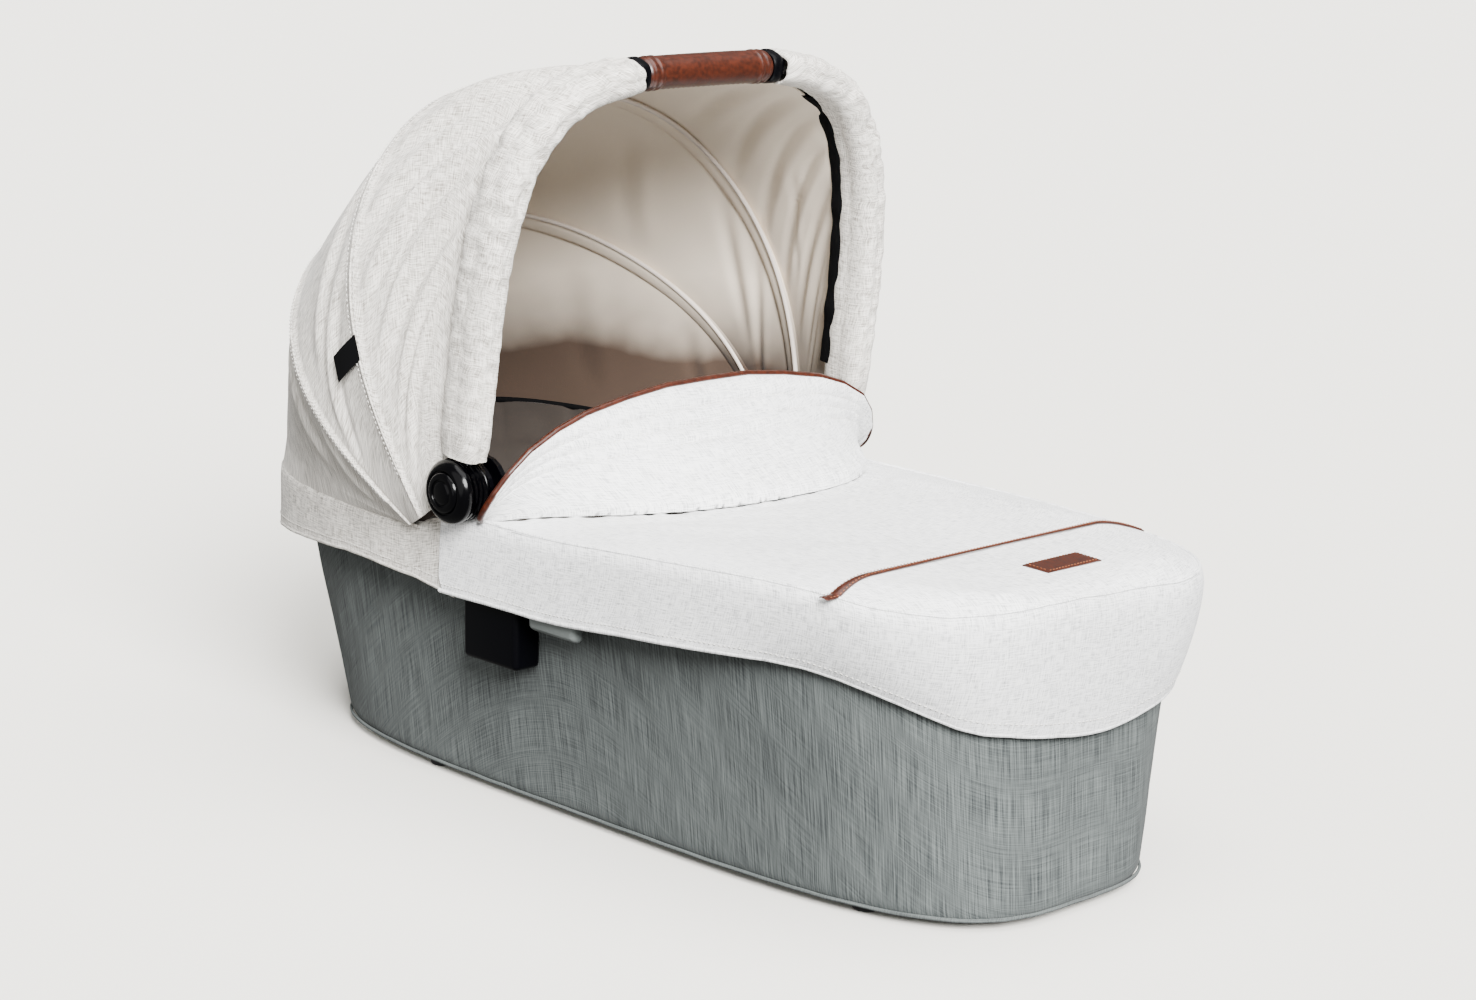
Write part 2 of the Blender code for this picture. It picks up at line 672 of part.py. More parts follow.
def apron_edge(x):
    """The apron's head edge: an arc that sweeps towards the head at the sides."""
    return APRON_EDGE_Y + APRON_EDGE_RISE * (abs(x) / RIM_HALF_WIDTH) ** 2.2


def apron_z(x, y):
    """Top surface of the apron, crowned over the tub."""
    rim = width_at_y(grown(RIM, 0.003), max(y, -RIM_FOOT))
    across = max(0.0, 1.0 - (abs(x) / rim) ** APRON_FLATNESS) if rim > 1e-6 else 0.0
    swell = 1.0
    if y > APRON_CREST_Y:
        swell = 1.0 - APRON_SAG * ((y - APRON_CREST_Y) / (APRON_EDGE_Y - APRON_CREST_Y)) ** 2
        swell = max(swell, 0.0)
    foot = max(0.0, 1.0 - (abs(y) / RIM_FOOT) ** APRON_ROLL)
    return SEAM_Z + FABRIC * 0.25 + APRON_CROWN * across * swell * foot


def make_apron():
    start = turn_at_y(RIM, BAND_START_Y - FLEX_GAP)
    steps = 34
    turns = [start - (math.pi + 2 * start) * i / steps for i in range(steps + 1)]
    sheet("apron_skirt", wrap_rows(turns, SEAM_Z, skirt_drop, SKIRT_FLARE), FABRIC, "apron_fabric", from_middle)

    start = turn_at_y(RIM, BAND_START_Y)
    turns = [start + (math.pi - 2 * start) * i / 24 for i in range(25)]
    sheet("head_band", wrap_rows(turns, BAND_TOP_Z, band_drop, SKIRT_FLARE * 0.8), FABRIC, "oatmeal_fabric",
          from_middle)

    outline = grown(RIM, -FLEX_GAP)
    columns = 16
    across = [-1 + 2 * i / columns for i in range(columns + 1)]
    across = [math.sin(a * math.pi / 2) for a in across]
    rows = []
    depth = 10
    for r in range(depth + 1):
        row = []
        share = r / depth
        for a in across:
            turn = -math.pi / 2 + math.asin(max(-1, min(1, a)))
            foot_x, foot_y = plan_point(outline, turn if a else -math.pi / 2)
            edge_x = foot_x * 0.999
            edge = apron_edge(edge_x)
            y = edge + (foot_y - edge) * share
            row.append((foot_x, min(y, edge), apron_z(foot_x, min(y, edge))))
        rows.append(row)
    sheet("apron_top", rows, FABRIC, "apron_fabric", lambda p: (0, 0, 1))


def make_leather_trim():
    """Strap across the apron, and a blank patch below it."""
    half = STRAP_WIDTH / 2
    reach = width_at_y(RIM, STRAP_Y) - 0.006
    steps = 16
    rows = []
    for dy in (half, 0.0, -half):
        y = STRAP_Y + dy
        rows.append([(reach * (-1 + 2 * i / steps), y,
                      apron_z(reach * (-1 + 2 * i / steps), y) + FLEX_GAP + LEATHER) for i in range(steps + 1)])
    sheet("apron_strap", rows, LEATHER, "tan_leather", lambda p: (0, 0, 1))
    rows = []
    for j in range(4):
        y = PATCH_Y + PATCH_SIZE[1] * (0.5 - j / 3)
        rows.append([(PATCH_SIZE[0] * (-0.5 + i / 6), y,
                      apron_z(PATCH_SIZE[0] * (-0.5 + i / 6), y) + FLEX_GAP + LEATHER) for i in range(7)])
    sheet("apron_patch", rows, LEATHER, "tan_leather", lambda p: (0, 0, 1))


def flap_point(x, share):
    """Point of the wind flap's face: share 0 on the apron, 1 along its top edge."""
    base_y = apron_edge(x) + FLAP_GAP
    base_z = apron_z(x, base_y) + FLAP_GAP
    reach = FLAP_HEIGHT * (1 - (abs(x) / (FLAP_HALF_WIDTH * 1.10)) ** 3.2) ** 0.62
    lean = math.radians(FLAP_LEAN)
    return (x, base_y + reach * share * math.sin(lean), base_z + reach * share * math.cos(lean))


def make_flap(axis_empty):
    columns = 16
    xs = [FLAP_HALF_WIDTH * (-1 + 2 * i / columns) for i in range(columns + 1)]
    rows = [[flap_point(x, share) for x in xs] for share in (0.0, 0.33, 0.67, 1.0)]
    wall = sheet("wind_flap", rows, FLAP_THICKNESS, "apron_fabric", lambda p: (0, -1, 0.5), axis_empty)
    wall.modifiers["wall"].offset = 0

    path = []
    for x in xs:
        near, far = flap_point(x, 0.9), flap_point(x, 1.0)
        size = math.dist(near, far)
        lift = FLAP_PIPING_RADIUS + FLEX_GAP
        path.append(tuple(f + (f - n) / size * lift for n, f in zip(near, far)))
    rings = []
    for i, point in enumerate(path):
        before, after = path[max(i - 1, 0)], path[min(i + 1, len(path) - 1)]
        run = [b - a for a, b in zip(before, after)]
        size = math.sqrt(sum(c * c for c in run))
        run = [c / size for c in run]
        lean = math.radians(FLAP_LEAN)
        front = (0.0, -math.cos(lean), math.sin(lean))
        up = (run[1] * front[2] - run[2] * front[1], run[2] * front[0] - run[0] * front[2],
              run[0] * front[1] - run[1] * front[0])
        rings.append(section_ring(point, up, front, (FLAP_PIPING_RADIUS, FLAP_PIPING_RADIUS), 8))
    ring_solid("flap_piping", rings, "tan_leather", axis_empty)


# ---------------------------------------------------------------- hood hinge
def make_hinges(bow_axis, rib_axes):
    """Pin, plate, detent, rib eyes, bow knuckle and cap on each side, along one axis."""
    bore = PIN_RADIUS + RUNNING
    for hand, side in SIDES.items():
        pin_end = KNUCKLE_SPAN[1] + 0.006
        turned(f"hinge_pin_{hand}", [
            (PLATE_SPAN[0] - 0.0030, PIN_RADIUS + 0.0025), (PLATE_SPAN[0] - CLEARANCE, PIN_RADIUS + 0.0025),
            (PLATE_SPAN[0] - CLEARANCE, PIN_RADIUS), (pin_end, PIN_RADIUS),
        ], side, "spring_steel", steps=14)

        plate = turned(f"hinge_plate_{hand}", [(x, PLATE_RADIUS) for x in PLATE_SPAN], side, "black_plastic")
        saddle_z = RIM_TUBE_Z + RIM_TUBE_RADIUS + CLEARANCE
        saddle = box(f"saddle_{hand}", (side * PLATE_SPAN[0], HINGE_Y - 0.018, saddle_z),
                     (side * (DETENT_SPAN[1] - 0.0005), HINGE_Y + 0.018, saddle_z + 0.0042), "black_plastic")
        boolean(plate, saddle, "UNION")
        boolean(plate, pin_cutter(f"plate_bore_{hand}", side, bore))

        detent = turned(f"hinge_detent_{hand}", [(x, DETENT_RADIUS) for x in DETENT_SPAN], side, "black_plastic")
        boolean(detent, pin_cutter(f"detent_bore_{hand}", side, bore))

        ridge = 0.0010
        x0, x1 = KNUCKLE_SPAN
        step = (x1 - x0) / 4
        profile = [(x0, KNUCKLE_RADIUS - 0.004)]
        for k in range(4):
            profile.append((x0 + step * (k + 0.15), KNUCKLE_RADIUS - (0.003 if k == 0 else ridge)))
            profile.append((x0 + step * (k + 0.50), KNUCKLE_RADIUS - (0.001 if k == 0 else 0.0)))
        profile.append((x1, KNUCKLE_RADIUS - ridge))
        knuckle = turned(f"bow_knuckle_{hand}", profile, side, "black_plastic", bow_axis)
        boolean(knuckle, pin_cutter(f"knuckle_bore_{hand}", side, bore))
        seat_path = [hinge_point(side * BOW_HALF_WIDTH, r, BOW_TILT) for r in (BOW_SEAT - CLEARANCE, 0.040)]
        seat_size = [half + RUNNING for half in BOW_SECTION]
        seat = ring_solid(f"bow_seat_{hand}", planar_rings(seat_path, hinge_normal(BOW_TILT), seat_size, 12),
                          "black_plastic")
        boolean(knuckle, seat)

        x0 = KNUCKLE_SPAN[1] + CLEARANCE * 2
        cap_profile = [(x0, CAP_RADIUS - 0.0015), (x0 + 0.0015, CAP_RADIUS), (x0 + 0.0040, CAP_RADIUS)]
        for depth, radius in ((0.0070, 0.0245), (0.0095, 0.0215), (0.0105, 0.0180), (0.0098, 0.0172),
                              (0.0098, 0.0150), (0.0112, 0.0142), (0.0118, 0.0100), (0.0108, 0.0092),
                              (0.0108, 0.0060)):
            cap_profile.append((x0 + depth * CAP_DEPTH / 0.0118, radius * CAP_RADIUS / 0.0260))
        cap = turned(f"hinge_cap_{hand}", cap_profile, side, "black_plastic", steps=ROUND_STEPS + 4)
        recess = turned(f"cap_recess_{hand}", [(x0 - 0.002, bore), (pin_end + RUNNING, bore)], side,
                        "black_plastic", steps=14)
        boolean(cap, recess)

        for name, (leg_x, height, angle) in RIBS.items():
            half = RIB_STRIP[0]
            eye = turned(f"{name}_eye_{hand}", [(leg_x - half, EYE_RADIUS), (leg_x + half, EYE_RADIUS)], side,
                         "spring_steel", rib_axes[name], steps=16)
            boolean(eye, pin_cutter(f"{name}_bore_{hand}", side, bore))
            eye.hide_render = True
            eye.display_type = "WIRE"


def pin_cutter(name, side, radius):
    return turned(name, [(PLATE_SPAN[0] - 0.02, radius), (KNUCKLE_SPAN[1] + 0.02, radius)], side,
                  "black_plastic", steps=14)


def make_ribs(rib_axes):
    """Spring-steel strips bent over the hood, with an eye on the pin at each end."""
    for name, (leg_x, height, angle) in RIBS.items():
        start = bow_turn_at_radius(PIN_RADIUS + 0.0035, height, RIB_POWER)
        path = bow_path(leg_x, height, RIB_POWER, angle, start, math.pi - start, 26)
        rings = [strip_ring(ring) for ring in planar_rings(path, hinge_normal(angle), RIB_STRIP, 4)]
        rib = ring_solid(name, rings, "spring_steel", rib_axes[name])
        for hand in SIDES:
            boolean(rib, bpy.data.objects[f"{name}_eye_{hand}"], "UNION")


def strip_ring(ring):
    """Squares the four-point oval of a sweep out to the strip's full size."""
    centre = [sum(p[k] for p in ring) / 4 for k in range(3)]
    return [tuple(centre[k] + (p[k] - centre[k]) * math.sqrt(2) for k in range(3)) for p in ring]


# ---------------------------------------------------------------- bow and grip
def bow_rings(start, end, half_sizes, steps, around):
    shape = (BOW_HALF_WIDTH, BOW_HEIGHT, BOW_POWER, BOW_TILT)
    path = bow_path(*shape, start, end, steps)
    nudge = math.copysign(1e-3, end - start)
    before = bow_path(*shape, start - nudge, end - nudge, steps)
    after = bow_path(*shape, start + nudge, end + nudge, steps)
    runs = [[b - a for a, b in zip(p, q)] for p, q in zip(before, after)]
    return planar_rings(path, hinge_normal(BOW_TILT), half_sizes, around, runs)


def make_bow(bow_axis):
    around = 10
    start = bow_turn_at_radius(BOW_SEAT, BOW_HEIGHT, BOW_POWER)
    inner = [half - BOW_WALL for half in BOW_SECTION]
    tube_solid("hood_bow", bow_rings(start, math.pi - start, BOW_SECTION, 26, around),
               bow_rings(start, math.pi - start, inner, 26, around), "tube_aluminium", bow_axis)

    bore = [half + BOW_FIT for half in BOW_SECTION]
    grip = bow_turn_at_x(GRIP_HALF_LENGTH, BOW_HALF_WIDTH, BOW_POWER)
    tube_solid("grip", bow_rings(grip, math.pi - grip, GRIP_SECTION, 8, 12),
               bow_rings(grip, math.pi - grip, bore, 8, 12), "tan_leather", bow_axis)

    collar_in = GRIP_HALF_LENGTH + CLEARANCE
    collar_out = collar_in + GRIP_END_LENGTH
    sleeve_in = collar_out + CLEARANCE
    for hand, side in SIDES.items():
        pieces = (
            (f"grip_collar_{hand}", collar_out, collar_in, GRIP_END_SECTION, 3, "black_rubber"),
            (f"bow_sleeve_{hand}", None, sleeve_in, SLEEVE_SECTION, 13, "apron_fabric"),
        )
        for name, outer_x, inner_x, section, steps, finish in pieces:
            end = bow_turn_at_x(inner_x, BOW_HALF_WIDTH, BOW_POWER)
            if outer_x is None:
                begin = bow_turn_at_radius(CAP_RADIUS + RUNNING, BOW_HEIGHT, BOW_POWER)
            else:
                begin = bow_turn_at_x(outer_x, BOW_HALF_WIDTH, BOW_POWER)
            if side < 0:
                begin, end = math.pi - begin, math.pi - end
            tube_solid(name, bow_rings(begin, end, section, steps, 10), bow_rings(begin, end, bore, steps, 10),
                       finish, bow_axis)


# ---------------------------------------------------------------- hood panels
def panel_profile(order, turn):
    """(x, distance from the pin) of a nested panel's outer face at a turn angle."""
    out = PANEL_STEP * order + FABRIC
    height = PANEL_HEIGHT + out
    x, radius = bow_curve(1.0, height, PANEL_POWER, turn)
    bulge = PANEL_BULGE * math.sin(math.pi * min(radius / height, 1.0))
    return x * (PANEL_HALF_WIDTH + out + bulge), radius


def make_panels(axes):
    """Hood panels that nest and slide inside each other as the hood folds."""
    columns, bands = 24, 3
    for name, (order, first, last) in PANELS.items():
        height = PANEL_HEIGHT + PANEL_STEP * order + FABRIC
        start = bow_turn_at_radius(PANEL_START, height, PANEL_POWER)
        rows = [[] for _ in range(bands + 1)]
        for i in range(columns + 1):
            turn = start + (math.pi - 2 * start) * i / columns
            x, radius = panel_profile(order, turn)
            begin = first
            if begin is None:
                behind = SLEEVE_SECTION[1] + 2 * FLEX_GAP + RUNNING
                begin = BOW_TILT + math.degrees(math.asin(min(1.0, behind / radius)))
            for band in range(bands + 1):
                rows[band].append(hinge_point(x, radius, begin + (last - begin) * band / bands))
        sheet(name, rows, FABRIC, "oatmeal_fabric", from_hinge, axes[name])


def from_hinge(point):
    return (point[0], point[1] - HINGE_Y, point[2] - HINGE_Z)


def make_fixed_panel():
    """Back of the hood, sewn to the head band: it takes the moving panels inside it."""
    columns = 24
    order = 3
    rows = []
    for angle, height in FIXED_PANEL_ROWS:
        start = bow_turn_at_radius(PANEL_START + 0.010, height, PANEL_POWER)
        row = []
        for i in range(columns + 1):
            turn = start + (math.pi - 2 * start) * i / columns
            x, radius = bow_curve(1.0, height, PANEL_POWER, turn)
            out = PANEL_STEP * order + FABRIC
            bulge = PANEL_BULGE * math.sin(math.pi * min(radius / height, 1.0))
            row.append(hinge_point(x * (PANEL_HALF_WIDTH + out + bulge), radius, angle))
        rows.append(row)
    outline = grown(RIM, 0.002)
    start = turn_at_y(outline, HINGE_Y + PANEL_START + 0.010)
    hem = []
    for i in range(columns + 1):
        turn = start + (math.pi - 2 * start) * i / columns
        hem.append((*plan_point(outline, turn), BAND_TOP_Z + FLEX_GAP))
    low, high = rows[-1], hem
    rows.append([tuple(a + (b - a) * 0.5 for a, b in zip(p, q)) for p, q in zip(low, high)])
    rows.append(hem)
    sheet("hood_back", rows, FABRIC, "oatmeal_fabric", from_hinge)


# ---------------------------------------------------------------- the whole carrycot
def axis_empty(name, y, z):
    empty = bpy.data.objects.new(name, None)
    empty.location = (0.0, y, z)
    bpy.context.scene.collection.objects.link(empty)
    bpy.context.view_layer.update()
    return empty


def stand_on_origin():
    """Slides everything along Y, so that the origin is below the middle of the whole box."""
    bpy.context.view_layer.update()
    graph = bpy.context.evaluated_depsgraph_get()
    reach = []
    for thing in bpy.context.scene.objects:
        if thing.type == "MESH" and not thing.hide_render:
            shown = thing.evaluated_get(graph)
            reach += [(shown.matrix_world @ Vector(corner)).y for corner in shown.bound_box]
    middle = (min(reach) + max(reach)) / 2
    for thing in bpy.context.scene.objects:
        if thing.parent is None:
            thing.location.y -= middle
    bpy.context.view_layer.update()


def main():
    clear_scene()
    bow_axis = axis_empty("bow_axis", HINGE_Y, HINGE_Z)
    rib_axes = {name: axis_empty(f"{name}_axis", HINGE_Y, HINGE_Z) for name in RIBS}
    flap_axis = axis_empty("flap_axis", APRON_EDGE_Y + FLAP_GAP, apron_z(0, APRON_EDGE_Y) + FLAP_GAP)
    panel_axes = {
        "hood_panel_front": bow_axis,
        "hood_panel_middle": rib_axes["rib_front"],
        "hood_panel_rear": rib_axes["rib_rear"],
    }
    make_feet()
    make_tub()
    make_stays()
    make_rim()
    make_adapters()
    make_apron()
    make_leather_trim()
    make_flap(flap_axis)
    make_hinges(bow_axis, rib_axes)
    make_ribs(rib_axes)
    make_bow(bow_axis)
    make_panels(panel_axes)
    make_fixed_panel()
    stand_on_origin()


main()
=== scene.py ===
"""Looks of the pram carrycot: its cloth, leather and moulded parts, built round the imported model."""
import math

import bpy
import numpy as np
from mathutils import Matrix, Vector, noise


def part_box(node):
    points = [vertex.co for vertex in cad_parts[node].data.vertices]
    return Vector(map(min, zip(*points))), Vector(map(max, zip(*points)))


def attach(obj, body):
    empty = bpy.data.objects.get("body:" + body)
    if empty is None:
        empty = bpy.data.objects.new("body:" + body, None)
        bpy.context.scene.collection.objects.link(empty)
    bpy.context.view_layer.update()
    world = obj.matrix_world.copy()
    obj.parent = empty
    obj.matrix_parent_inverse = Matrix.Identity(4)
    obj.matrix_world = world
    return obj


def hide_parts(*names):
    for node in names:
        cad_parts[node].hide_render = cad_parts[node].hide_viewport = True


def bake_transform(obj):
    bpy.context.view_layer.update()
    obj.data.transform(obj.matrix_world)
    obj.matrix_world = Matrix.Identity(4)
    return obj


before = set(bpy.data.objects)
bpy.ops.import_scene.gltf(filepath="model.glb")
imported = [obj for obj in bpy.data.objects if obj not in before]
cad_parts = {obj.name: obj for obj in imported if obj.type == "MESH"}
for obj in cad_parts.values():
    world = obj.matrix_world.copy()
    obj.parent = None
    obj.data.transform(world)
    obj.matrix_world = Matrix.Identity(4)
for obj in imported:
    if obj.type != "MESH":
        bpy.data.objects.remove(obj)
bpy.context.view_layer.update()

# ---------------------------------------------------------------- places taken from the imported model
pin_low, pin_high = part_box("hinge_pin_left")
PIN_Y = (pin_low.y + pin_high.y) / 2
PIN_Z = (pin_low.z + pin_high.z) / 2
HINGE = (0.0720, 0.2702)            # the hood's pin, measured from the middle of the rim's outline
CENTRE_Y = PIN_Y - HINGE[0]         # where the middle of the rim's outline lies

# Plan outlines: half width, length to the foot, length to the head, roundness at foot and head.
RIM = (0.2071, 0.4172, 0.4428, 3.4, 3.3)
BASE = (0.1545, 0.3957, 0.3734, 3.6, 3.9)
BAND_TOP_Z = 0.2275
BASE_Z = 0.0062
TUB_TOP_Z = 0.2230
LINER_Z = 0.0146
LINER_TOP_Z = 0.240
UP = (0, 0, 1)

# Points well inside, from which the faces of open sheets turn away.
TUB_CORE = (0, CENTRE_Y, 0.12)
APRON_CORE = (0, CENTRE_Y, 0.0)
BAND_CORE = (0, CENTRE_Y, 0.2)
HOOD_CORE = (0, 0.15, 0.25)

# Thickness of each cloth and of the leather trim.
TWEED_THICK = LINEN_THICK = 0.0022
LINEN_THIN = CANOPY_THICK = 0.0020
SLEEVE_THICK = 0.0016
QUILT_THICK = 0.0025
LINING_THICK = LEATHER_THICK = 0.0012
TAG_THICK = 0.0009


# ---------------------------------------------------------------- camera
def towards(turn, rise):
    """The way to a place turned from the foot end towards +X and raised above the floor, in radians."""
    return Vector((math.sin(turn) * math.cos(rise), -math.cos(turn) * math.cos(rise), math.sin(rise)))


def aim_camera():
    """Looks at the near foot corner from a little above the rim."""
    bpy.ops.object.camera_add()
    camera = bpy.context.object
    camera.name = "camera"
    turn, rise, roll = (math.radians(a) for a in (-45.232, 13.059, 1.709))
    back = towards(turn, rise)
    right = (-back).cross(Vector((0, 0, 1))).normalized()
    up = back.cross(right)
    across = right * math.cos(roll) + up * math.sin(roll)
    over = -right * math.sin(roll) + up * math.cos(roll)
    place = Vector((0.0, -0.0193 + CENTRE_Y, 0.2477)) + back * 2.618
    camera.matrix_world = Matrix.Translation(place) @ Matrix((across, over, back)).transposed().to_4x4()
    camera.data.sensor_width = 36.0
    camera.data.lens = 78.2
    camera.data.clip_end = 50.0
    bpy.context.scene.camera = camera


# ---------------------------------------------------------------- small tools
def deselect():
    if bpy.context.object and bpy.context.object.mode != "OBJECT":
        bpy.ops.object.mode_set(mode="OBJECT")
    bpy.ops.object.select_all(action="DESELECT")


def only(piece):
    deselect()
    piece.select_set(True)
    bpy.context.view_layer.objects.active = piece


def finish_with(piece, kind, **settings):
    """Adds a modifier, sets it and applies it."""
    only(piece)
    modifier = piece.modifiers.new(kind.lower(), kind)
    for name, value in settings.items():
        setattr(modifier, name, value)
    bpy.ops.object.modifier_apply(modifier=modifier.name)


def bake_place(piece):
    """Puts the object's place, turn and size into its mesh."""
    only(piece)
    bpy.ops.object.transform_apply(location=True, rotation=True, scale=True)


def just_made(name):
    """The object that was just added, named, with its place in its mesh."""
    piece = bpy.context.object
    piece.name = piece.data.name = name
    bake_place(piece)
    return piece


def smooth(piece, angle=40.0):
    only(piece)
    bpy.ops.object.shade_smooth_by_angle(angle=math.radians(angle))


def values_of(items, what):
    """One vector for each item of a mesh, such as its points' places or its faces' normals."""
    flat = np.empty(len(items) * 3)
    items.foreach_get(what, flat)
    return flat.reshape(-1, 3)


def points_of(piece):
    return values_of(piece.data.vertices, "co")


def move_points(piece, places):
    piece.data.vertices.foreach_set("co", np.ascontiguousarray(places, dtype=np.float32).ravel())
    piece.data.update()


def edited(piece, *steps, select="SELECT"):
    """Takes a piece through some steps of mesh editing."""
    only(piece)
    bpy.ops.object.mode_set(mode="EDIT")
    bpy.ops.mesh.select_all(action=select)
    for step in steps:
        step()
    bpy.ops.object.mode_set(mode="OBJECT")


def merge(piece, distance=0.00002):
    edited(piece, lambda: bpy.ops.mesh.remove_doubles(threshold=distance))


def turn_out(piece):
    """Closed shells only: every face turned to the outside."""
    edited(piece, lambda: bpy.ops.mesh.normals_make_consistent(inside=False))


def face_from(piece, core):
    """Turns an open sheet's faces away from a core point."""
    away = values_of(piece.data.polygons, "center") - np.array(core)
    if (away * values_of(piece.data.polygons, "normal")).sum() < 0:
        edited(piece, bpy.ops.mesh.flip_normals)


def line(x, y, z):
    """A path from its points' coordinates."""
    return np.stack([x, y, z], axis=1)


def run_along(*coordinates):
    """The distance from the start of a path to each of its points."""
    return np.concatenate([[0], np.cumsum(np.sqrt(sum(np.diff(c) ** 2 for c in coordinates)))])


def eased(share):
    """A share from 0 to 1 that starts and stops gently."""
    return share * share * (3 - 2 * share)


def fading(share, width):
    """0 at a share of 0, growing to 1 over the width."""
    return np.clip(share / width, 0, 1)


def rough(x, y, z=0.0, size=0.05, seed=0.0):
    """Smooth unevenness between -1 and 1, with lumps of the given size in metres."""
    x, y, z = np.broadcast_arrays(np.asarray(x, float), y, z)
    found = [noise.noise((a / size + seed, b / size - seed, c / size + 2 * seed))
             for a, b, c in zip(x.ravel(), y.ravel(), z.ravel())]
    return np.array(found).reshape(x.shape)


def cloth_grid(name, columns, rows, point, closed=()):
    """A flat grid laid on a surface: point(u, v) takes shares from 0 to 1 and gives x, y and z.

    Its map is in metres along the threads, so that a weave keeps its size. closed names the directions, u or v,
    whose two edges meet.
    """
    deselect()
    bpy.ops.mesh.primitive_grid_add(x_subdivisions=columns, y_subdivisions=rows, size=1.0)
    piece = bpy.context.object
    piece.name = piece.data.name = name
    shares = points_of(piece)[:, :2] + 0.5
    wide = np.rint(shares[:, 0] * columns).astype(int)
    deep = np.rint(shares[:, 1] * rows).astype(int)
    v, u = np.meshgrid(np.linspace(0, 1, rows + 1), np.linspace(0, 1, columns + 1), indexing="ij")
    x, y, z = np.broadcast_arrays(*point(u, v))
    places = np.stack([x, y + CENTRE_Y, z], axis=-1)
    along = np.linalg.norm(np.diff(places, axis=1), axis=2)
    along = np.concatenate([np.zeros((rows + 1, 1)), np.cumsum(along, axis=1)], axis=1)
    along -= along[:, [columns // 2]]
    down = np.linalg.norm(np.diff(places, axis=0), axis=2)
    down = np.concatenate([np.zeros((1, columns + 1)), np.cumsum(down, axis=0)], axis=0)
    corner = np.empty(len(piece.data.loops), dtype=np.int32)
    piece.data.loops.foreach_get("vertex_index", corner)
    woven = np.stack([along[deep, wide][corner], down[deep, wide][corner]], axis=-1)
    layer = piece.data.uv_layers[0]
    layer.name = "threads"
    layer.data.foreach_set("uv", woven.astype(np.float32).ravel())
    move_points(piece, places[deep, wide])
    if closed:
        merge(piece)
    return piece


def sewn(name, columns, rows, point, core, thickness, closed=(), inside=False, angle=60.0):
    """A sheet of cloth with some thickness, its face turned away from a core point, or towards it for a lining."""
    piece = cloth_grid(name, columns, rows, point, closed)
    face_from(piece, core)
    if inside:
        edited(piece, bpy.ops.mesh.flip_normals)
    finish_with(piece, "SOLIDIFY", thickness=thickness, offset=-1)
    smooth(piece, angle)
    return piece


def swept(name, path, half_sizes, normal, around=12, closed=False, shape=None, ends=True):
    """A round or oval cord along a path; shape(share, turn) may swell or crease it.

    half_sizes are across the path and along the normal, which is one vector or one for each point.
    """
    path = np.asarray(path, float)
    count = len(path)
    ahead = np.roll(path, -1, axis=0) - np.roll(path, 1, axis=0)
    if not closed:
        ahead[0] = path[1] - path[0]
        ahead[-1] = path[-1] - path[-2]
    ahead /= np.linalg.norm(ahead, axis=1)[:, None]
    normal = np.broadcast_to(np.asarray(normal, float), path.shape)
    across = np.cross(ahead, normal)
    across /= np.linalg.norm(across, axis=1)[:, None]
    normal = np.cross(across, ahead)
    if closed:
        path, across, normal = (np.vstack([a, a[:1]]) for a in (path, across, normal))
        count += 1

    def point(u, v):
        step = np.rint(u * (count - 1)).astype(int)
        turn = v * math.tau
        swell = 1.0 if shape is None else shape(u, turn)
        a = (half_sizes[0] * np.cos(turn) * swell)[..., None]
        b = (half_sizes[1] * np.sin(turn) * swell)[..., None]
        places = path[step] + a * across[step] + b * normal[step]
        return places[..., 0], places[..., 1], places[..., 2]

    piece = cloth_grid(name, count - 1, around, point, closed="v")
    if ends and not closed:
        edited(piece, bpy.ops.mesh.select_non_manifold, bpy.ops.mesh.edge_face_add,
               lambda: bpy.ops.mesh.fill_holes(sides=0), select="DESELECT")
    turn_out(piece)
    smooth(piece, 50)
    return piece


def stitched(name, path, up, length=0.0028, gap=0.0016, width=0.00042):
    """Thread stitches laid end to end along a path, as one piece; up is each point's way out of the cloth."""
    path, up = np.asarray(path, float), np.broadcast_to(np.asarray(up, float), np.shape(path))
    run = run_along(*path.T)
    starts = np.arange(gap, run[-1] - length, length + gap)

    def at(places, values):
        return line(*(np.interp(places, run, column) for column in values.T))

    deselect()
    bpy.ops.mesh.primitive_uv_sphere_add(segments=6, ring_count=4, radius=1.0)
    stitch = bpy.context.object
    bpy.ops.transform.resize(value=(length / 2, width, width))
    bake_place(stitch)
    shape = points_of(stitch)
    faces = [list(p.vertices) for p in stitch.data.polygons]
    bpy.data.objects.remove(stitch, do_unlink=True)
    where = at(starts + length / 2, path)
    ahead = at(starts + length, path) - at(starts, path)
    ahead /= np.linalg.norm(ahead, axis=1)[:, None]
    out = at(starts + length / 2, up)
    side = np.cross(out, ahead)
    side /= np.linalg.norm(side, axis=1)[:, None]
    out = np.cross(ahead, side)
    places = (where[:, None] + shape[None, :, :1] * ahead[:, None] + shape[None, :, 1:2] * side[:, None]
              + shape[None, :, 2:] * out[:, None]).reshape(-1, 3)
    places[:, 1] += CENTRE_Y
    mesh = bpy.data.meshes.new(name)
    every = [[i + k * len(shape) for i in face] for k in range(len(starts)) for face in faces]
    mesh.from_pydata(places.tolist(), [], every)
    piece = bpy.data.objects.new(name, mesh)
    bpy.context.scene.collection.objects.link(piece)
    smooth(piece, 60)
    return piece


def dress(piece, finish, body=None, stands_for=(), follow=None):
    """Gives a piece its finish, its body and the nodes it stands for, whose parts it hides, and then calls follow on
    it.
    """
    piece.data.materials.clear()
    piece.data.materials.append(finish)
    if body:
        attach(piece, body)
    if stands_for:
        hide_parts(*stands_for)
    if follow:
        follow(piece)


def set_blend(piece):
    """Updates the piece's mesh."""
    piece.data.update()


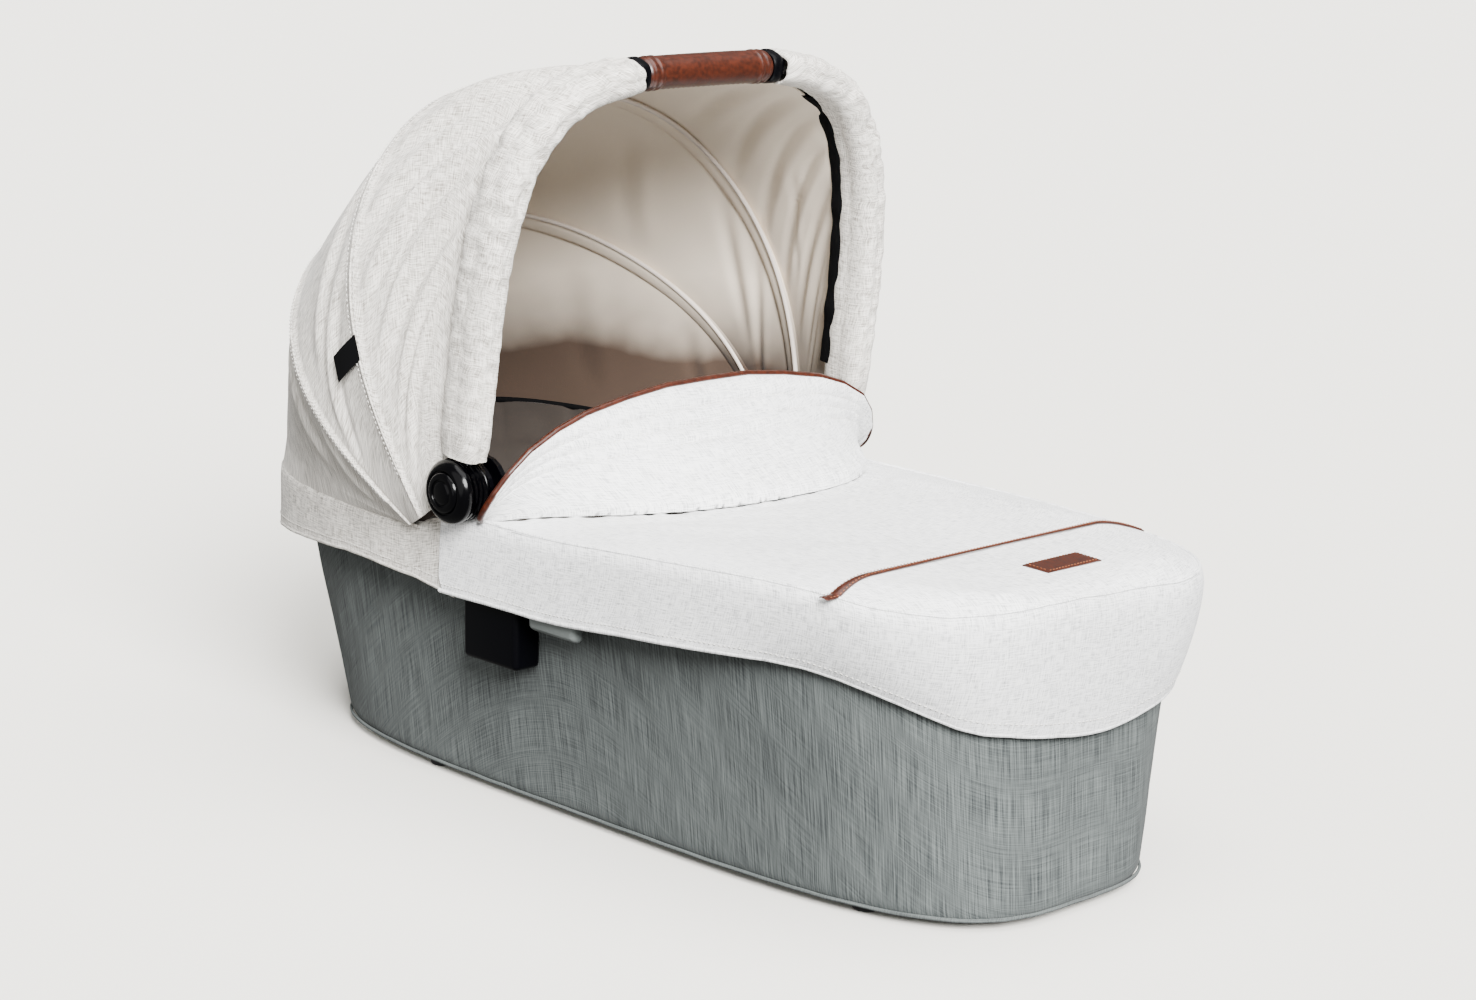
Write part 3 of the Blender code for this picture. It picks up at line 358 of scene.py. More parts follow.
# ---------------------------------------------------------------- finishes
def colour(code):
    """An sRGB hex colour as linear values."""
    values = [int(code[i:i + 2], 16) / 255 for i in (0, 2, 4)]
    return [c / 12.92 if c <= 0.04045 else ((c + 0.055) / 1.055) ** 2.4 for c in values] + [1.0]


def add(tree, kind, values=None, links=None, **settings):
    """Adds a node, sets it, and links its inputs to other nodes' outputs."""
    node = tree.nodes.new("ShaderNode" + kind)
    for name, value in settings.items():
        setattr(node, name, value)
    for name, value in (values or {}).items():
        node.inputs[name].default_value = value
    for name, output in (links or {}).items():
        tree.links.new(output, node.inputs[name])
    return node


def start_material(name, base, roughness, metallic=0.0, ior=1.5):
    made = bpy.data.materials.new(name)
    made.use_nodes = True
    shader = made.node_tree.nodes["Principled BSDF"]
    shader.inputs["Base Color"].default_value = colour(base)
    shader.inputs["Roughness"].default_value = roughness
    shader.inputs["Metallic"].default_value = metallic
    shader.inputs["IOR"].default_value = ior
    return made, made.node_tree, shader


def tone(tree, shader, mix, low, high, dark, light):
    """Colours a finish: dark where the mix is low, light where it is high."""
    ramp = add(tree, "ValToRGB", links={"Fac": mix})
    for end, place, code in zip(ramp.color_ramp.elements, (low, high), (dark, light)):
        end.position = place
        end.color = colour(code)
    tree.links.new(ramp.outputs["Color"], shader.inputs["Base Color"])


def raise_grain(tree, shader, height, strength, distance):
    bump = add(tree, "Bump", {"Strength": strength, "Distance": distance}, {"Height": height})
    tree.links.new(bump.outputs["Normal"], shader.inputs["Normal"])


def vary_shine(tree, shader, mix, low, high):
    haze = add(tree, "MapRange", {"To Min": low, "To Max": high}, {"Value": mix})
    tree.links.new(haze.outputs["Result"], shader.inputs["Roughness"])


def clouds(tree, place, scale, detail, **values):
    return add(tree, "TexNoise", {"Scale": scale, "Detail": detail, **values}, {"Vector": place}).outputs["Fac"]


def summed(tree, first, second):
    return add(tree, "Math", links={0: first, 1: second}, operation="ADD").outputs[0]


def scaled(tree, value, factor, shift=0.0):
    return add(tree, "Math", {1: factor, 2: shift}, {0: value}, operation="MULTIPLY_ADD").outputs[0]


def woven(name, light, dark, spread, streak, run, relief, balance, sheen=0.15, upright=0.5):
    """Melange linen-look polyester: light and dark yarns side by side, with thick slubs here and there.

    streak is a yarn's width and run a slub's length, in metres; upright is the share of the yarns that run up the
    cloth. A real yarn is about 0.4 mm wide, which is too fine to show, so it is drawn two to three times as coarse.
    """
    made, tree, shader = start_material(name, light, 0.88, ior=1.46)
    shader.inputs["Sheen Weight"].default_value = sheen
    shader.inputs["Sheen Roughness"].default_value = 0.5
    threads = add(tree, "UVMap", uv_map="threads").outputs["UV"]
    layers = []
    for across, along, seed, weight in ((streak, run, 0.0, upright), (run, streak, 7.0, 1 - upright)):
        laid = add(tree, "Mapping", {"Location": (seed, seed, seed), "Scale": (1 / across, 1 / along, 1.0)},
                   {"Vector": threads})
        layers.append(scaled(tree, clouds(tree, laid.outputs["Vector"], 1.0, 2.0, Roughness=0.65), weight))
    yarns = summed(tree, *layers)
    patches = scaled(tree, clouds(tree, threads, 9.0, 3.0), 0.10, -0.05)
    tone(tree, shader, summed(tree, yarns, patches), balance - spread, balance + spread, dark, light)
    raise_grain(tree, shader, yarns, relief, 0.0006)
    return made


def plain_cloth(name, base, shade, sheen=0.1, mirror=0.5):
    """Brushed polyester lining: an even soft colour that darkens a little in patches."""
    made, tree, shader = start_material(name, base, 0.9, ior=1.46)
    shader.inputs["Sheen Weight"].default_value = sheen
    shader.inputs["Specular IOR Level"].default_value = mirror
    place = add(tree, "TexCoord").outputs["Object"]
    tone(tree, shader, clouds(tree, place, 14.0, 4.0), 0.25, 0.75, shade, base)
    raise_grain(tree, shader, clouds(tree, place, 900.0, 1.0), 0.2, 0.0004)
    return made


def lining_with_painted_shade(name, base, low):
    """Hood lining: brushed beige polyester, with painted shade that darkens it to brown towards its lower part, near
    the rim.
    """
    made, tree, shader = start_material(name, base, 0.9, ior=1.46)
    shader.inputs["Sheen Weight"].default_value = 0.1
    place = add(tree, "TexCoord").outputs["Object"]
    height = add(tree, "SeparateXYZ", links={"Vector": place}).outputs["Z"]
    shade_height = summed(tree, height, scaled(tree, clouds(tree, place, 11.0, 3.0), 0.05))
    # Painted shade: below a height of 0.405 m the lining darkens towards the low colour, which it reaches at 0.325 m.
    tone(tree, shader, shade_height, 0.325, 0.405, low, base)
    raise_grain(tree, shader, clouds(tree, place, 900.0, 1.0), 0.2, 0.0004)
    return made


def leather(name, base, dark, gloss):
    """Bonded leather: pebbled grain of about 1.1 mm, worn darker in patches, with a soft wax shine."""
    made, tree, shader = start_material(name, base, gloss, ior=1.5)
    place = add(tree, "TexCoord").outputs["Object"]
    pebbles = add(tree, "TexVoronoi", {"Scale": 1 / 0.0011}, {"Vector": place}, feature="DISTANCE_TO_EDGE")
    worn = clouds(tree, place, 260.0, 5.0)
    tone(tree, shader, worn, 0.35, 0.65, dark, base)
    vary_shine(tree, shader, worn, gloss - 0.08, gloss + 0.12)
    raise_grain(tree, shader, pebbles.outputs["Distance"], 0.35, 0.0003)
    return made


def moulded(name, base, roughness, texture=0.05, mirror=0.5):
    """Injection-moulded plastic: an even colour with the faint spark-eroded texture of its tool, 1.2 mm across."""
    made, tree, shader = start_material(name, base, roughness, ior=1.5)
    shader.inputs["Specular IOR Level"].default_value = mirror
    fine = clouds(tree, add(tree, "TexCoord").outputs["Object"], 1 / 0.0012, 2.0)
    vary_shine(tree, shader, fine, roughness - 0.05, roughness + 0.07)
    raise_grain(tree, shader, fine, texture, 0.0002)
    return made


def drawn_metal(name, base, roughness):
    """Drawn or rolled metal: fine lines along the draw catch the light."""
    made, tree, shader = start_material(name, base, roughness, metallic=1.0)
    place = add(tree, "TexCoord").outputs["Object"]
    lines = add(tree, "Mapping", {"Scale": (1500.0, 60.0, 1500.0)}, {"Vector": place})
    vary_shine(tree, shader, clouds(tree, lines.outputs["Vector"], 1.0, 2.0), roughness - 0.06, roughness + 0.1)
    return made


LINEN = woven("pale_linen", "FBFBFA", "A4A5A6", 0.10, streak=0.0010, run=0.012, balance=0.450, relief=0.6)
OATMEAL = woven("oatmeal_linen", "EEE9E0", "827B72", 0.10, streak=0.0010, run=0.012, balance=0.470, relief=0.6)
TWEED = woven("grey_tweed", "6B716F", "272B2C", 0.15, streak=0.0009, run=0.050, relief=0.4, balance=0.51,
              sheen=0.03, upright=0.66)
# The second colour is painted shade for the lower part of the hood lining.
LINING = lining_with_painted_shade("beige_lining", "EADCC9", "3A2B20")
TAUPE = plain_cloth("taupe_quilting", "2F2721", "241E19")
SHEET = plain_cloth("mattress_knit", "E9E6DF", "DCD8CF")
PIPING = plain_cloth("beige_piping", "DDD2C8", "CDC1B6")
SADDLE = leather("saddle_leather", "431807", "2B0E04", gloss=0.33)
INK = plain_cloth("black_webbing", "040405", "020203", sheen=0.0, mirror=0.12)
THREAD = plain_cloth("pale_thread", "D9D6D0", "C6C3BD")
TAN_THREAD = plain_cloth("tan_thread", "9C5A34", "7E4424")
GLOSS = moulded("black_abs", "010102", 0.16, mirror=0.17)
MATT = moulded("black_nylon", "010103", 0.36, texture=0.12, mirror=0.11)
BUTTON = moulded("grey_abs", "727876", 0.38)
RUBBER = moulded("black_rubber_foot", "131313", 0.7)
ALLOY = drawn_metal("drawn_aluminium", "C9CACC", 0.32)
STEEL = drawn_metal("spring_steel_strip", "B7B8BB", 0.28)


# ---------------------------------------------------------------- outlines
def grow(size, distance):
    return tuple(s + distance for s in size[:3]) + size[3:]


def ring(turn, size):
    """x and y of a rounded outline; turn runs from +X towards the head."""
    c, s = np.cos(turn), np.sin(turn)
    length = np.where(s >= 0, size[2], size[1])
    power = np.where(s >= 0, size[4], size[3])
    x = size[0] * np.sign(c) * np.abs(c) ** (2 / power)
    y = length * np.sign(s) * np.abs(s) ** (2 / power)
    return x, y


def even_turns(start, end, size=RIM):
    """A function from a share of the way to the turn there, evenly along the outline."""
    fine = np.linspace(start, end, 6001)
    run = run_along(*ring(fine, size))
    return lambda share: np.interp(share * run[-1], run, fine)


def turn_at(y, size=RIM):
    length, power = (size[2], size[4]) if y >= 0 else (size[1], size[3])
    return math.copysign(math.asin((abs(y) / length) ** (power / 2)), y)


def between(low, high, z, low_z, high_z):
    """An outline at a height between two others."""
    share = (z - low_z) / (high_z - low_z)
    return tuple(a + (b - a) * share for a, b in zip(low, high))


def tub_size(z):
    """The tub's outline at a height: it widens evenly from its base to the rim."""
    return between(BASE, grow(RIM, -0.0114), z, 0.006, 0.225)


def away_from(turn, size=RIM):
    """Unit way out of an outline, square to it."""
    x0, y0 = ring(turn - 1e-4, size)
    x1, y1 = ring(turn + 1e-4, size)
    length = np.hypot(x1 - x0, y1 - y0)
    return (y1 - y0) / length, -(x1 - x0) / length


# ---------------------------------------------------------------- tub
def make_tub():
    around = even_turns(0.0, math.tau)

    def point(u, v):
        turn = around(u)
        z = np.interp(v, [0.0, 0.10, 0.13, 0.16, 1.0], [BASE_Z, BASE_Z, BASE_Z + 0.0008, 0.0125, TUB_TOP_Z])
        inward = np.interp(v, [0.0, 0.10, 0.13, 0.16, 1.0], [1.0, 0.014, 0.0025, 0.0, 0.0])
        x, y = ring(turn, tub_size(z))
        nx, ny = away_from(turn)
        low = np.clip((z - 0.012) / 0.05, 0, 1)
        slack = 0.0011 * rough(x * 2.2, y * 2.2, z * 0.5, 0.11, 3.0) * low
        slack += 0.0007 * rough(x * 3, y * 3, z * 0.35, 0.03, 8.0) * low
        sag = 0.0016 * np.sin(np.pi * np.clip((z - 0.01) / (TUB_TOP_Z - 0.01), 0, 1))
        flat = v < 0.10
        x = np.where(flat, x * np.clip(v / 0.10, 0, 1) * 0.93, x + nx * (slack - sag - inward))
        y = np.where(flat, y * np.clip(v / 0.10, 0, 1) * 0.965, y + ny * (slack - sag - inward))
        return x, y, z

    tub = sewn("tub_cloth", 380, 46, point, TUB_CORE, TWEED_THICK, closed="uv")
    dress(tub, TWEED, "cot", ["tub_wall"])

    x, y = ring(around(np.linspace(0, 1, 361)[:-1]), grow(tub_size(0.009), 0.0006))
    path = line(x, y, 0.0088 + 0.0004 * rough(x, y, 0.0, 0.02, 5.0))
    welt = swept("tub_base_welt", path, (0.0013, 0.0016), UP, around=8, closed=True)
    dress(welt, TWEED, "cot")


def make_feet():
    for end in ("foot", "head"):
        for hand in ("left", "right"):
            node = f"foot_{end}_{hand}"
            low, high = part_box(node)
            middle = (low + high) / 2
            deselect()
            bpy.ops.mesh.primitive_cylinder_add(vertices=40, radius=(high.x - low.x) / 2, depth=high.z - low.z,
                                                location=middle)
            foot = just_made(f"stud_{end}_{hand}")
            finish_with(foot, "BEVEL", width=0.0016, segments=4)
            smooth(foot)
            dress(foot, RUBBER, "cot", [node])


# ---------------------------------------------------------------- liner and mattress
def liner_size(z):
    """The liner's outline at a height, a little inside the tub's."""
    return between(grow(tub_size(LINER_Z), -0.0155), grow(RIM, -0.0213), z, LINER_Z, LINER_TOP_Z)


def liner_top(y):
    """The liner's edge: level along the sides, rising a little round the head."""
    return LINER_TOP_Z + 0.010 * fading(y - 0.18, 0.22) ** 1.5


def make_liner():
    around = even_turns(0.0, math.tau)
    floor = 0.0420

    def point(u, v):
        turn = around(u)
        top = liner_top(ring(turn, RIM)[1])
        z = floor + (top - floor) * v
        x, y = ring(turn, grow(liner_size(z), -0.0030))
        nx, ny = away_from(turn)
        channel = np.abs(np.sin(u * math.pi * 30)) ** 0.5
        tuft = 0.0035 * channel * np.abs(np.sin(v * math.pi * 2.5)) ** 0.4 * (v > 0.02)
        crease = 0.0016 * rough(x, y, z, 0.022, 2.0)
        return x - nx * (tuft + crease), y - ny * (tuft + crease), z

    liner = sewn("liner_quilt", 480, 40, point, TUB_CORE, QUILT_THICK, closed="u", inside=True)
    dress(liner, TAUPE, "cot", ["inner_liner"])

    x, y = ring(around(np.linspace(0, 1, 301)[:-1]), grow(liner_size(0.242), -0.0025))
    edge = swept("liner_edge_piping", line(x, y, liner_top(y) + 0.0015), (0.0022, 0.0026), UP, around=10, closed=True)
    dress(edge, INK, "cot")


def make_mattress():
    low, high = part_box("mattress")
    size = grow(liner_size(0.020), -0.0085)
    around = even_turns(0.0, math.tau)
    thick = high.z - low.z

    def point(u, v):
        turn = around(u)
        steps = (0, 0.30, 0.36, 0.42, 0.50, 0.58, 0.64, 0.70, 1.0)
        side = np.interp(v, steps, (0, 0.93, 0.975, 0.995, 1.0, 0.995, 0.975, 0.93, 0))
        lift = np.interp(v, steps, (0, 0.0, 0.05, 0.20, 0.50, 0.80, 0.95, 1.0, 1.0))
        x, y = ring(turn, size)
        crown = 0.0015 * (1 - side ** 2) * (lift > 0.9)
        return x * side, y * side, low.z + thick * lift - 0.0015 * (lift > 0.9) + crown

    pad = cloth_grid("mattress_pad", 160, 40, point, closed="uv")
    turn_out(pad)
    puff(pad, limit=0.004, pressure=3.0, voxel=0.006)
    smooth(pad, 60)
    dress(pad, SHEET, "cot", ["mattress"])


PUFF_FRAMES = 20


def puff(piece, limit, pressure, voxel):
    """Swells a closed cover by a short cloth simulation, with no point moved further than the limit."""
    finish_with(piece, "REMESH", mode="VOXEL", voxel_size=voxel)
    before = points_of(piece)
    cloth = piece.modifiers.new("cloth", "CLOTH")
    cloth.settings.quality = 5
    cloth.settings.use_pressure = True
    cloth.settings.uniform_pressure_force = pressure
    cloth.settings.effector_weights.gravity = 0.0
    cloth.settings.tension_stiffness = 30
    cloth.settings.compression_stiffness = 30
    cloth.point_cache.frame_start = 1
    cloth.point_cache.frame_end = PUFF_FRAMES
    for step in range(1, PUFF_FRAMES + 1):
        bpy.context.scene.frame_set(step)
    only(piece)
    bpy.ops.object.modifier_apply(modifier=cloth.name)
    bpy.context.scene.frame_set(1)
    moved = points_of(piece) - before
    far = np.linalg.norm(moved, axis=1)
    share = np.minimum(1.0, limit / np.maximum(far, 1e-9))
    move_points(piece, before + moved * share[:, None])
    finish_with(piece, "SUBSURF", levels=1, render_levels=1)


# ---------------------------------------------------------------- apron, skirt and band
def fold_y(x):
    """Where the wind flap folds up from the apron."""
    return -0.080 + 0.135 * (np.abs(x) / 0.207) ** 2.6


# Height of the apron's rim seam going round from the left side (180 degrees) over the foot end to the right side.
SEAM_ROUND = (
    (150, 180, 183, 186, 192, 198, 204, 210, 216, 222, 228, 237, 243, 252, 258, 266, 273, 279, 285, 300, 330, 390),
    (0.2440, 0.2452, 0.2490, 0.2515, 0.2545, 0.2565, 0.2575, 0.2567, 0.2541, 0.2508, 0.2496, 0.2484, 0.2500, 0.2521,
     0.2542, 0.2553, 0.2508, 0.2472, 0.2464, 0.2450, 0.2443, 0.2440),
)
# Height of the skirt's hem, by the angle from a side (0) to the middle of the foot end (90).
HEM_ROUND = (
    (-30, -9, -3, 0, 3, 6, 12, 18, 24, 30, 36, 42, 48, 54, 60, 66, 72, 78, 84, 90),
    (0.1810, 0.1795, 0.1812, 0.1823, 0.1864, 0.1897, 0.1936, 0.1955, 0.1965, 0.1950, 0.1907, 0.1847, 0.1780, 0.1705,
     0.1630, 0.1582, 0.1561, 0.1527, 0.1496, 0.1445),
)
# Height of the apron's flat top along its middle.
CREST = ((-0.4172, -0.408, -0.392, -0.355, -0.26, -0.20, -0.08, 0.06),
         (0.2540, 0.2590, 0.2628, 0.2645, 0.2650, 0.2645, 0.2605, 0.2490))


def seam_height(turn):
    return np.interp(np.degrees(turn) % 360 + np.where(np.degrees(turn) % 360 < 100, 360, 0), *SEAM_ROUND)


def hem_height(turn):
    return np.interp(90 - np.abs((np.degrees(turn) % 360) - 270), *HEM_ROUND)


def apron_z(x, y):
    """Top of the apron: nearly flat, rolling over to its seam on the rim."""
    length, power = np.where(y >= 0, RIM[2], RIM[1]), np.where(y >= 0, RIM[4], RIM[3])
    share = np.minimum(np.abs(y) / length, 0.9999)
    reach = RIM[0] * (1 - share ** power) ** (1 / power)
    side = np.clip(x / reach, -1, 1)
    turn = np.sign(y) * np.arcsin(share ** (power / 2))
    left, right = seam_height(math.pi - turn), seam_height(turn)
    top = np.interp(y, *CREST)
    top = np.maximum(top, np.maximum(left, right))
    near = np.clip((-side - 0.80) / 0.20, 0, 1) ** 2.2
    far = np.clip((side - 0.60) / 0.40, 0, 1) ** 1.5
    return top - (top - left) * near - (top - right) * far


def crease_at(x, y, start, end, width):
    """1 on the line from start to end, fading over the width to its sides and towards its ends."""
    run = (end[0] - start[0], end[1] - start[1])
    length = math.hypot(*run)
    along = ((x - start[0]) * run[0] + (y - start[1]) * run[1]) / length ** 2
    side = ((x - start[0]) * run[1] - (y - start[1]) * run[0]) / length
    return np.exp(-(side / width) ** 2) * np.exp(-((along - 0.5) / 0.42) ** 4)


# Soft creases across the apron: from, to, half width and height, in metres.
APRON_FOLDS = [
    ((-0.19, -0.030), (-0.05, -0.120), 0.010, -0.0022),
    ((-0.17, -0.060), (-0.08, -0.190), 0.012, 0.0016),
    ((0.19, -0.030), (0.04, -0.115), 0.010, -0.0020),
    ((-0.10, -0.080), (0.06, -0.100), 0.007, -0.0015),
    ((-0.180, -0.20), (-0.05, -0.250), 0.013, 0.0010),
]


def make_apron_top():
    def point(u, v):
        a = np.sin((2 * u - 1) * math.pi / 2)
        turn = -math.pi / 2 + np.arcsin(np.clip(a, -1, 1))
        x, foot = ring(turn, RIM)
        edge = fold_y(x) + 0.002
        y = edge + (foot - edge) * v
        z = apron_z(x, y)
        inside = np.clip((1 - np.abs(a)) / 0.06, 0, 1) * np.clip((1 - v) / 0.05, 0, 1)
        z = z + 0.0014 * rough(x, y, 0, 0.09, 4.0) * inside
        near = np.exp(-(v / 0.045) ** 2)
        z = z + 0.0016 * near * rough(x, y * 0.1, 0, 0.008, 6.0) * inside
        for start, end, width, depth in APRON_FOLDS:
            z = z + depth * crease_at(x, y, start, end, width) * inside
        return x, y, z

    top = sewn("apron_cover", 200, 150, point, APRON_CORE, LINEN_THICK)
    dress(top, LINEN, "cot", ["apron_top"])


def skirt_point(turn, v):
    """The skirt from its seam, over the rim tube, and down to its hem, where it hugs the tub's foot end."""
    x, y = ring(turn, RIM)
    nx, ny = away_from(turn)
    low, high = hem_height(turn), seam_height(turn) + 0.0004
    z = high - (high - low) * v
    tx, ty = ring(turn, tub_size(z))
    lean = eased(fading(-y - 0.14, 0.17)) * v ** 1.4
    swell = np.interp(v, [0, 0.05, 0.14, 0.35, 1.0], [0.0, 0.0024, 0.0042, 0.0052, 0.0060])
    out = 0.0008 + swell + 0.0016 * v * rough(x, y, z * 0.25, 0.07, 1.5)
    out = out + 0.0007 * v * rough(x, y, z * 0.4, 0.02, 9.0)
    x, y = x + (tx + nx * 0.0045 - x) * lean, y + (ty + ny * 0.0045 - y) * lean
    out = out * (1 - 0.8 * lean)
    return x + nx * out, y + ny * out, z


def hem_edge(name, turns, point, stitch_share, half_sizes, finish):
    """The rolled edge of a skirt or band, and the line of stitches a little above it."""
    nx, ny = away_from(turns)
    x, y, z = point(turns, np.ones_like(turns))
    hem = swept(f"{name}_hem", line(x - nx * 0.001, y - ny * 0.001, z + 0.0006), half_sizes, UP, around=8)
    dress(hem, finish, "cot")
    x, y, z = point(turns, np.full_like(turns, stitch_share))
    seam = stitched(f"{name}_hem_stitches", line(x + nx * 0.0003, y + ny * 0.0003, z), line(nx, ny, np.zeros_like(nx)))
    dress(seam, THREAD, "cot")


def make_skirt():
    start = turn_at(0.104)
    around = even_turns(start, -math.pi - start)

    def point(u, v):
        turn = around(u)
        x, y, z = skirt_point(turn, v)
        corner = np.clip(1 - np.minimum(u, 1 - u) / 0.006, 0, 1)
        z = z + corner ** 2 * 0.012 * np.clip((v - 0.75) / 0.25, 0, 1)
        return x, y, z

    skirt = sewn("apron_skirt_cloth", 420, 26, point, BAND_CORE, LINEN_THIN)
    dress(skirt, LINEN, "cot", ["apron_skirt"])

    turns = around(np.linspace(0.0, 1.0, 420))
    hem_edge("skirt", turns, skirt_point, 0.90, (0.0016, 0.0021), LINEN)
    nx, ny = away_from(turns)
    x, y, z = skirt_point(turns, np.zeros_like(turns))
    path = line(x - nx * 0.0008, y - ny * 0.0008, z + 0.0002)
    rolled = swept("apron_rim_welt", path, (0.0015, 0.0013), UP, around=8)
    dress(rolled, LINEN, "cot")


BAND_LOW = ((0.05, 0.09, 0.137, 0.20, 0.24, 0.36, 0.4428), (0.177, 0.179, 0.185, 0.187, 0.187, 0.178, 0.166))


def band_point(turn, v):
    x, y = ring(turn, RIM)
    nx, ny = away_from(turn)
    low = np.interp(y, *BAND_LOW)
    top = np.interp(y, [0.085, 0.10, 0.15], [0.2440, 0.2420, BAND_TOP_Z])
    z = top - (top - low) * v
    out = 0.0010 + np.interp(v, [0, 0.06, 0.25, 1.0], [0.0, 0.0026, 0.0032, 0.0030])
    out = out + 0.0014 * rough(x, y, z * 0.3, 0.05, 7.5) * v + 0.0008 * rough(x, y, z * 0.5, 0.018, 2.5)
    return x + nx * out, y + ny * out, z


def make_band():
    start = turn_at(0.088)
    around = even_turns(start, math.pi - start)
    band = sewn("head_band_cloth", 300, 18, lambda u, v: band_point(around(u), v), BAND_CORE, LINEN_THIN)
    dress(band, OATMEAL, "cot", ["head_band"])

    hem_edge("band", around(np.linspace(0, 1, 300)), band_point, 0.84, (0.0015, 0.0020), OATMEAL)


# ---------------------------------------------------------------- leather trim
STRAP_Y = -0.302
TRIM_STITCH = (0.0022, 0.0013, 0.0003)     # length, gap and width of the stitches in the trim


def strap_half(x):
    """Half the strap's width, which grows towards the rim."""
    return np.interp(np.abs(x), [0.0, 0.08, 0.16, 0.199], [0.0016, 0.0020, 0.0036, 0.0048])


def make_strap():
    reach = 0.1965

    def point(u, v):
        x = -reach + (reach + 0.170) * u
        y = STRAP_Y + strap_half(x) * (1 - 2 * v)
        z = apron_z(x, y) + 0.0016 + 0.0010 * np.sin(v * math.pi)
        return x, y, z

    strap = sewn("leather_strap", 120, 6, point, APRON_CORE, LEATHER_THICK)
    finish_with(strap, "SUBSURF", levels=1, render_levels=1)
    smooth(strap)
    dress(strap, SADDLE, "cot", ["apron_strap"])
    x = np.linspace(-reach + 0.003, 0.167, 110)
    for name, edge in (("strap_stitches_near", -1), ("strap_stitches_far", 1)):
        y = STRAP_Y + edge * (strap_half(x) - 0.0011)
        seam = stitched(name, line(x, y, apron_z(x, y) + 0.0026), UP, *TRIM_STITCH)
        dress(seam, TAN_THREAD, "cot")


def make_patch():
    middle, half = (-0.006, -0.3650), (0.0310, 0.0125)

    def point(u, v):
        a, b = 2 * u - 1, 2 * v - 1
        x, y = middle[0] + half[0] * a, middle[1] - half[1] * b
        edge = np.maximum(np.abs(a), np.abs(b))
        z = apron_z(x, y) + 0.0019 - 0.0007 * np.clip((edge - 0.86) / 0.14, 0, 1) ** 2
        return x, y, z

    patch = sewn("leather_patch", 30, 16, point, APRON_CORE, LEATHER_THICK, angle=40.0)
    dress(patch, SADDLE, "cot", ["apron_patch"])
    a = np.concatenate([np.linspace(-1, 1, 20), np.ones(9), np.linspace(1, -1, 20), -np.ones(9)]) * 0.92
    b = np.concatenate([-np.ones(20), np.linspace(-1, 1, 9), np.ones(20), np.linspace(1, -1, 9)]) * 0.85
    x, y = middle[0] + half[0] * a, middle[1] + half[1] * b
    seam = stitched("patch_stitches", line(x, y, apron_z(x, y) + 0.0021), UP, *TRIM_STITCH)
    dress(seam, TAN_THREAD, "cot")


# ---------------------------------------------------------------- hood cloth
# Sections of the hood, each in a plane through its own line across the carrycot: angle from upright towards the
# head, half width, swell, height, roundness, and the line's place.
SECTIONS = np.array([
    (-6.40, 0.2173, 0.0000, 0.3250, 4.00, 0.0720, 0.2702),
    (21.73, 0.2230, 0.0341, 0.3545, 2.84, 0.1124, 0.2370),
    (48.21, 0.2156, 0.0385, 0.3217, 2.66, 0.1327, 0.2272),
    (85.00, 0.2130, -0.0026, 0.3220, 2.46, 0.1327, 0.2272),
])
SEAMS = (21.73, 48.21)


def section(angle):
    """The hood's section at an angle, eased between the fixed ones."""
    out = []
    knots = SECTIONS[:, 0]
    for column in range(1, 7):
        values = SECTIONS[:, column]
        slopes = np.gradient(values, knots)
        i = np.clip(np.searchsorted(knots, angle, side="right") - 1, 0, len(knots) - 2)
        width = knots[i + 1] - knots[i]
        t = np.clip((angle - knots[i]) / width, 0, 1)
        straight = values[i] + (values[i + 1] - values[i]) * t
        eased = ((2 * t ** 3 - 3 * t ** 2 + 1) * values[i] + (t ** 3 - 2 * t ** 2 + t) * width * slopes[i]
                 + (-2 * t ** 3 + 3 * t ** 2) * values[i + 1] + (t ** 3 - t ** 2) * width * slopes[i + 1])
        out.append(0.5 * straight + 0.5 * eased)
    return out


def hood_point(angle, turn, inset=0.0):
    """x, y and z on the hood; turn is 0 at the right pin, a quarter turn at the top, half at the left pin."""
    half_width, swell, height, power, y0, z0 = section(angle)
    c, s = np.cos(turn), np.sin(turn)
    k = 2 / power
    rise = np.abs(s) ** k
    wide = half_width + swell * np.sin(math.pi * np.clip(0.9 * rise, 0, 1)) - inset
    x = wide * np.sign(c) * np.abs(c) ** k
    reach = (height - inset) * rise
    lean = np.radians(angle)
    return x, y0 + reach * np.sin(lean), z0 + reach * np.cos(lean)


def even_hood_turns():
    fine = np.linspace(0, math.pi, 4001)
    run = run_along(*hood_point(np.full_like(fine, 15.0), fine))
    return lambda share: np.interp(share * run[-1], run, fine)


HOOD_TURN = even_hood_turns()


# How far each part of the hood turns with the bow: at the bow, the two ribs, the back panel and the head.
FOLD_ANGLES = (-6.4, 28.0, 58.0, 84.0, 180.0)
FOLD_SHARES = (1.0, 0.655, 0.228, 0.0, 0.0)


def follow_hood(piece, share=None):
    """Bakes a piece's place into its mesh and works out each point's share of the fold from its angle about the pin;
    the shares are not stored on the piece.
    """
    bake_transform(piece)
    places = points_of(piece)
    angle = np.degrees(np.arctan2(places[:, 1] - PIN_Y, places[:, 2] - PIN_Z))
    if share is None:
        share = np.interp(angle, FOLD_ANGLES, FOLD_SHARES)
        share = np.where(angle < -30, np.interp(angle, [-180, -110, -30], [0.0, 0.0, 1.0]), share)
    else:
        share = np.full(len(places), share)
    set_blend(piece)


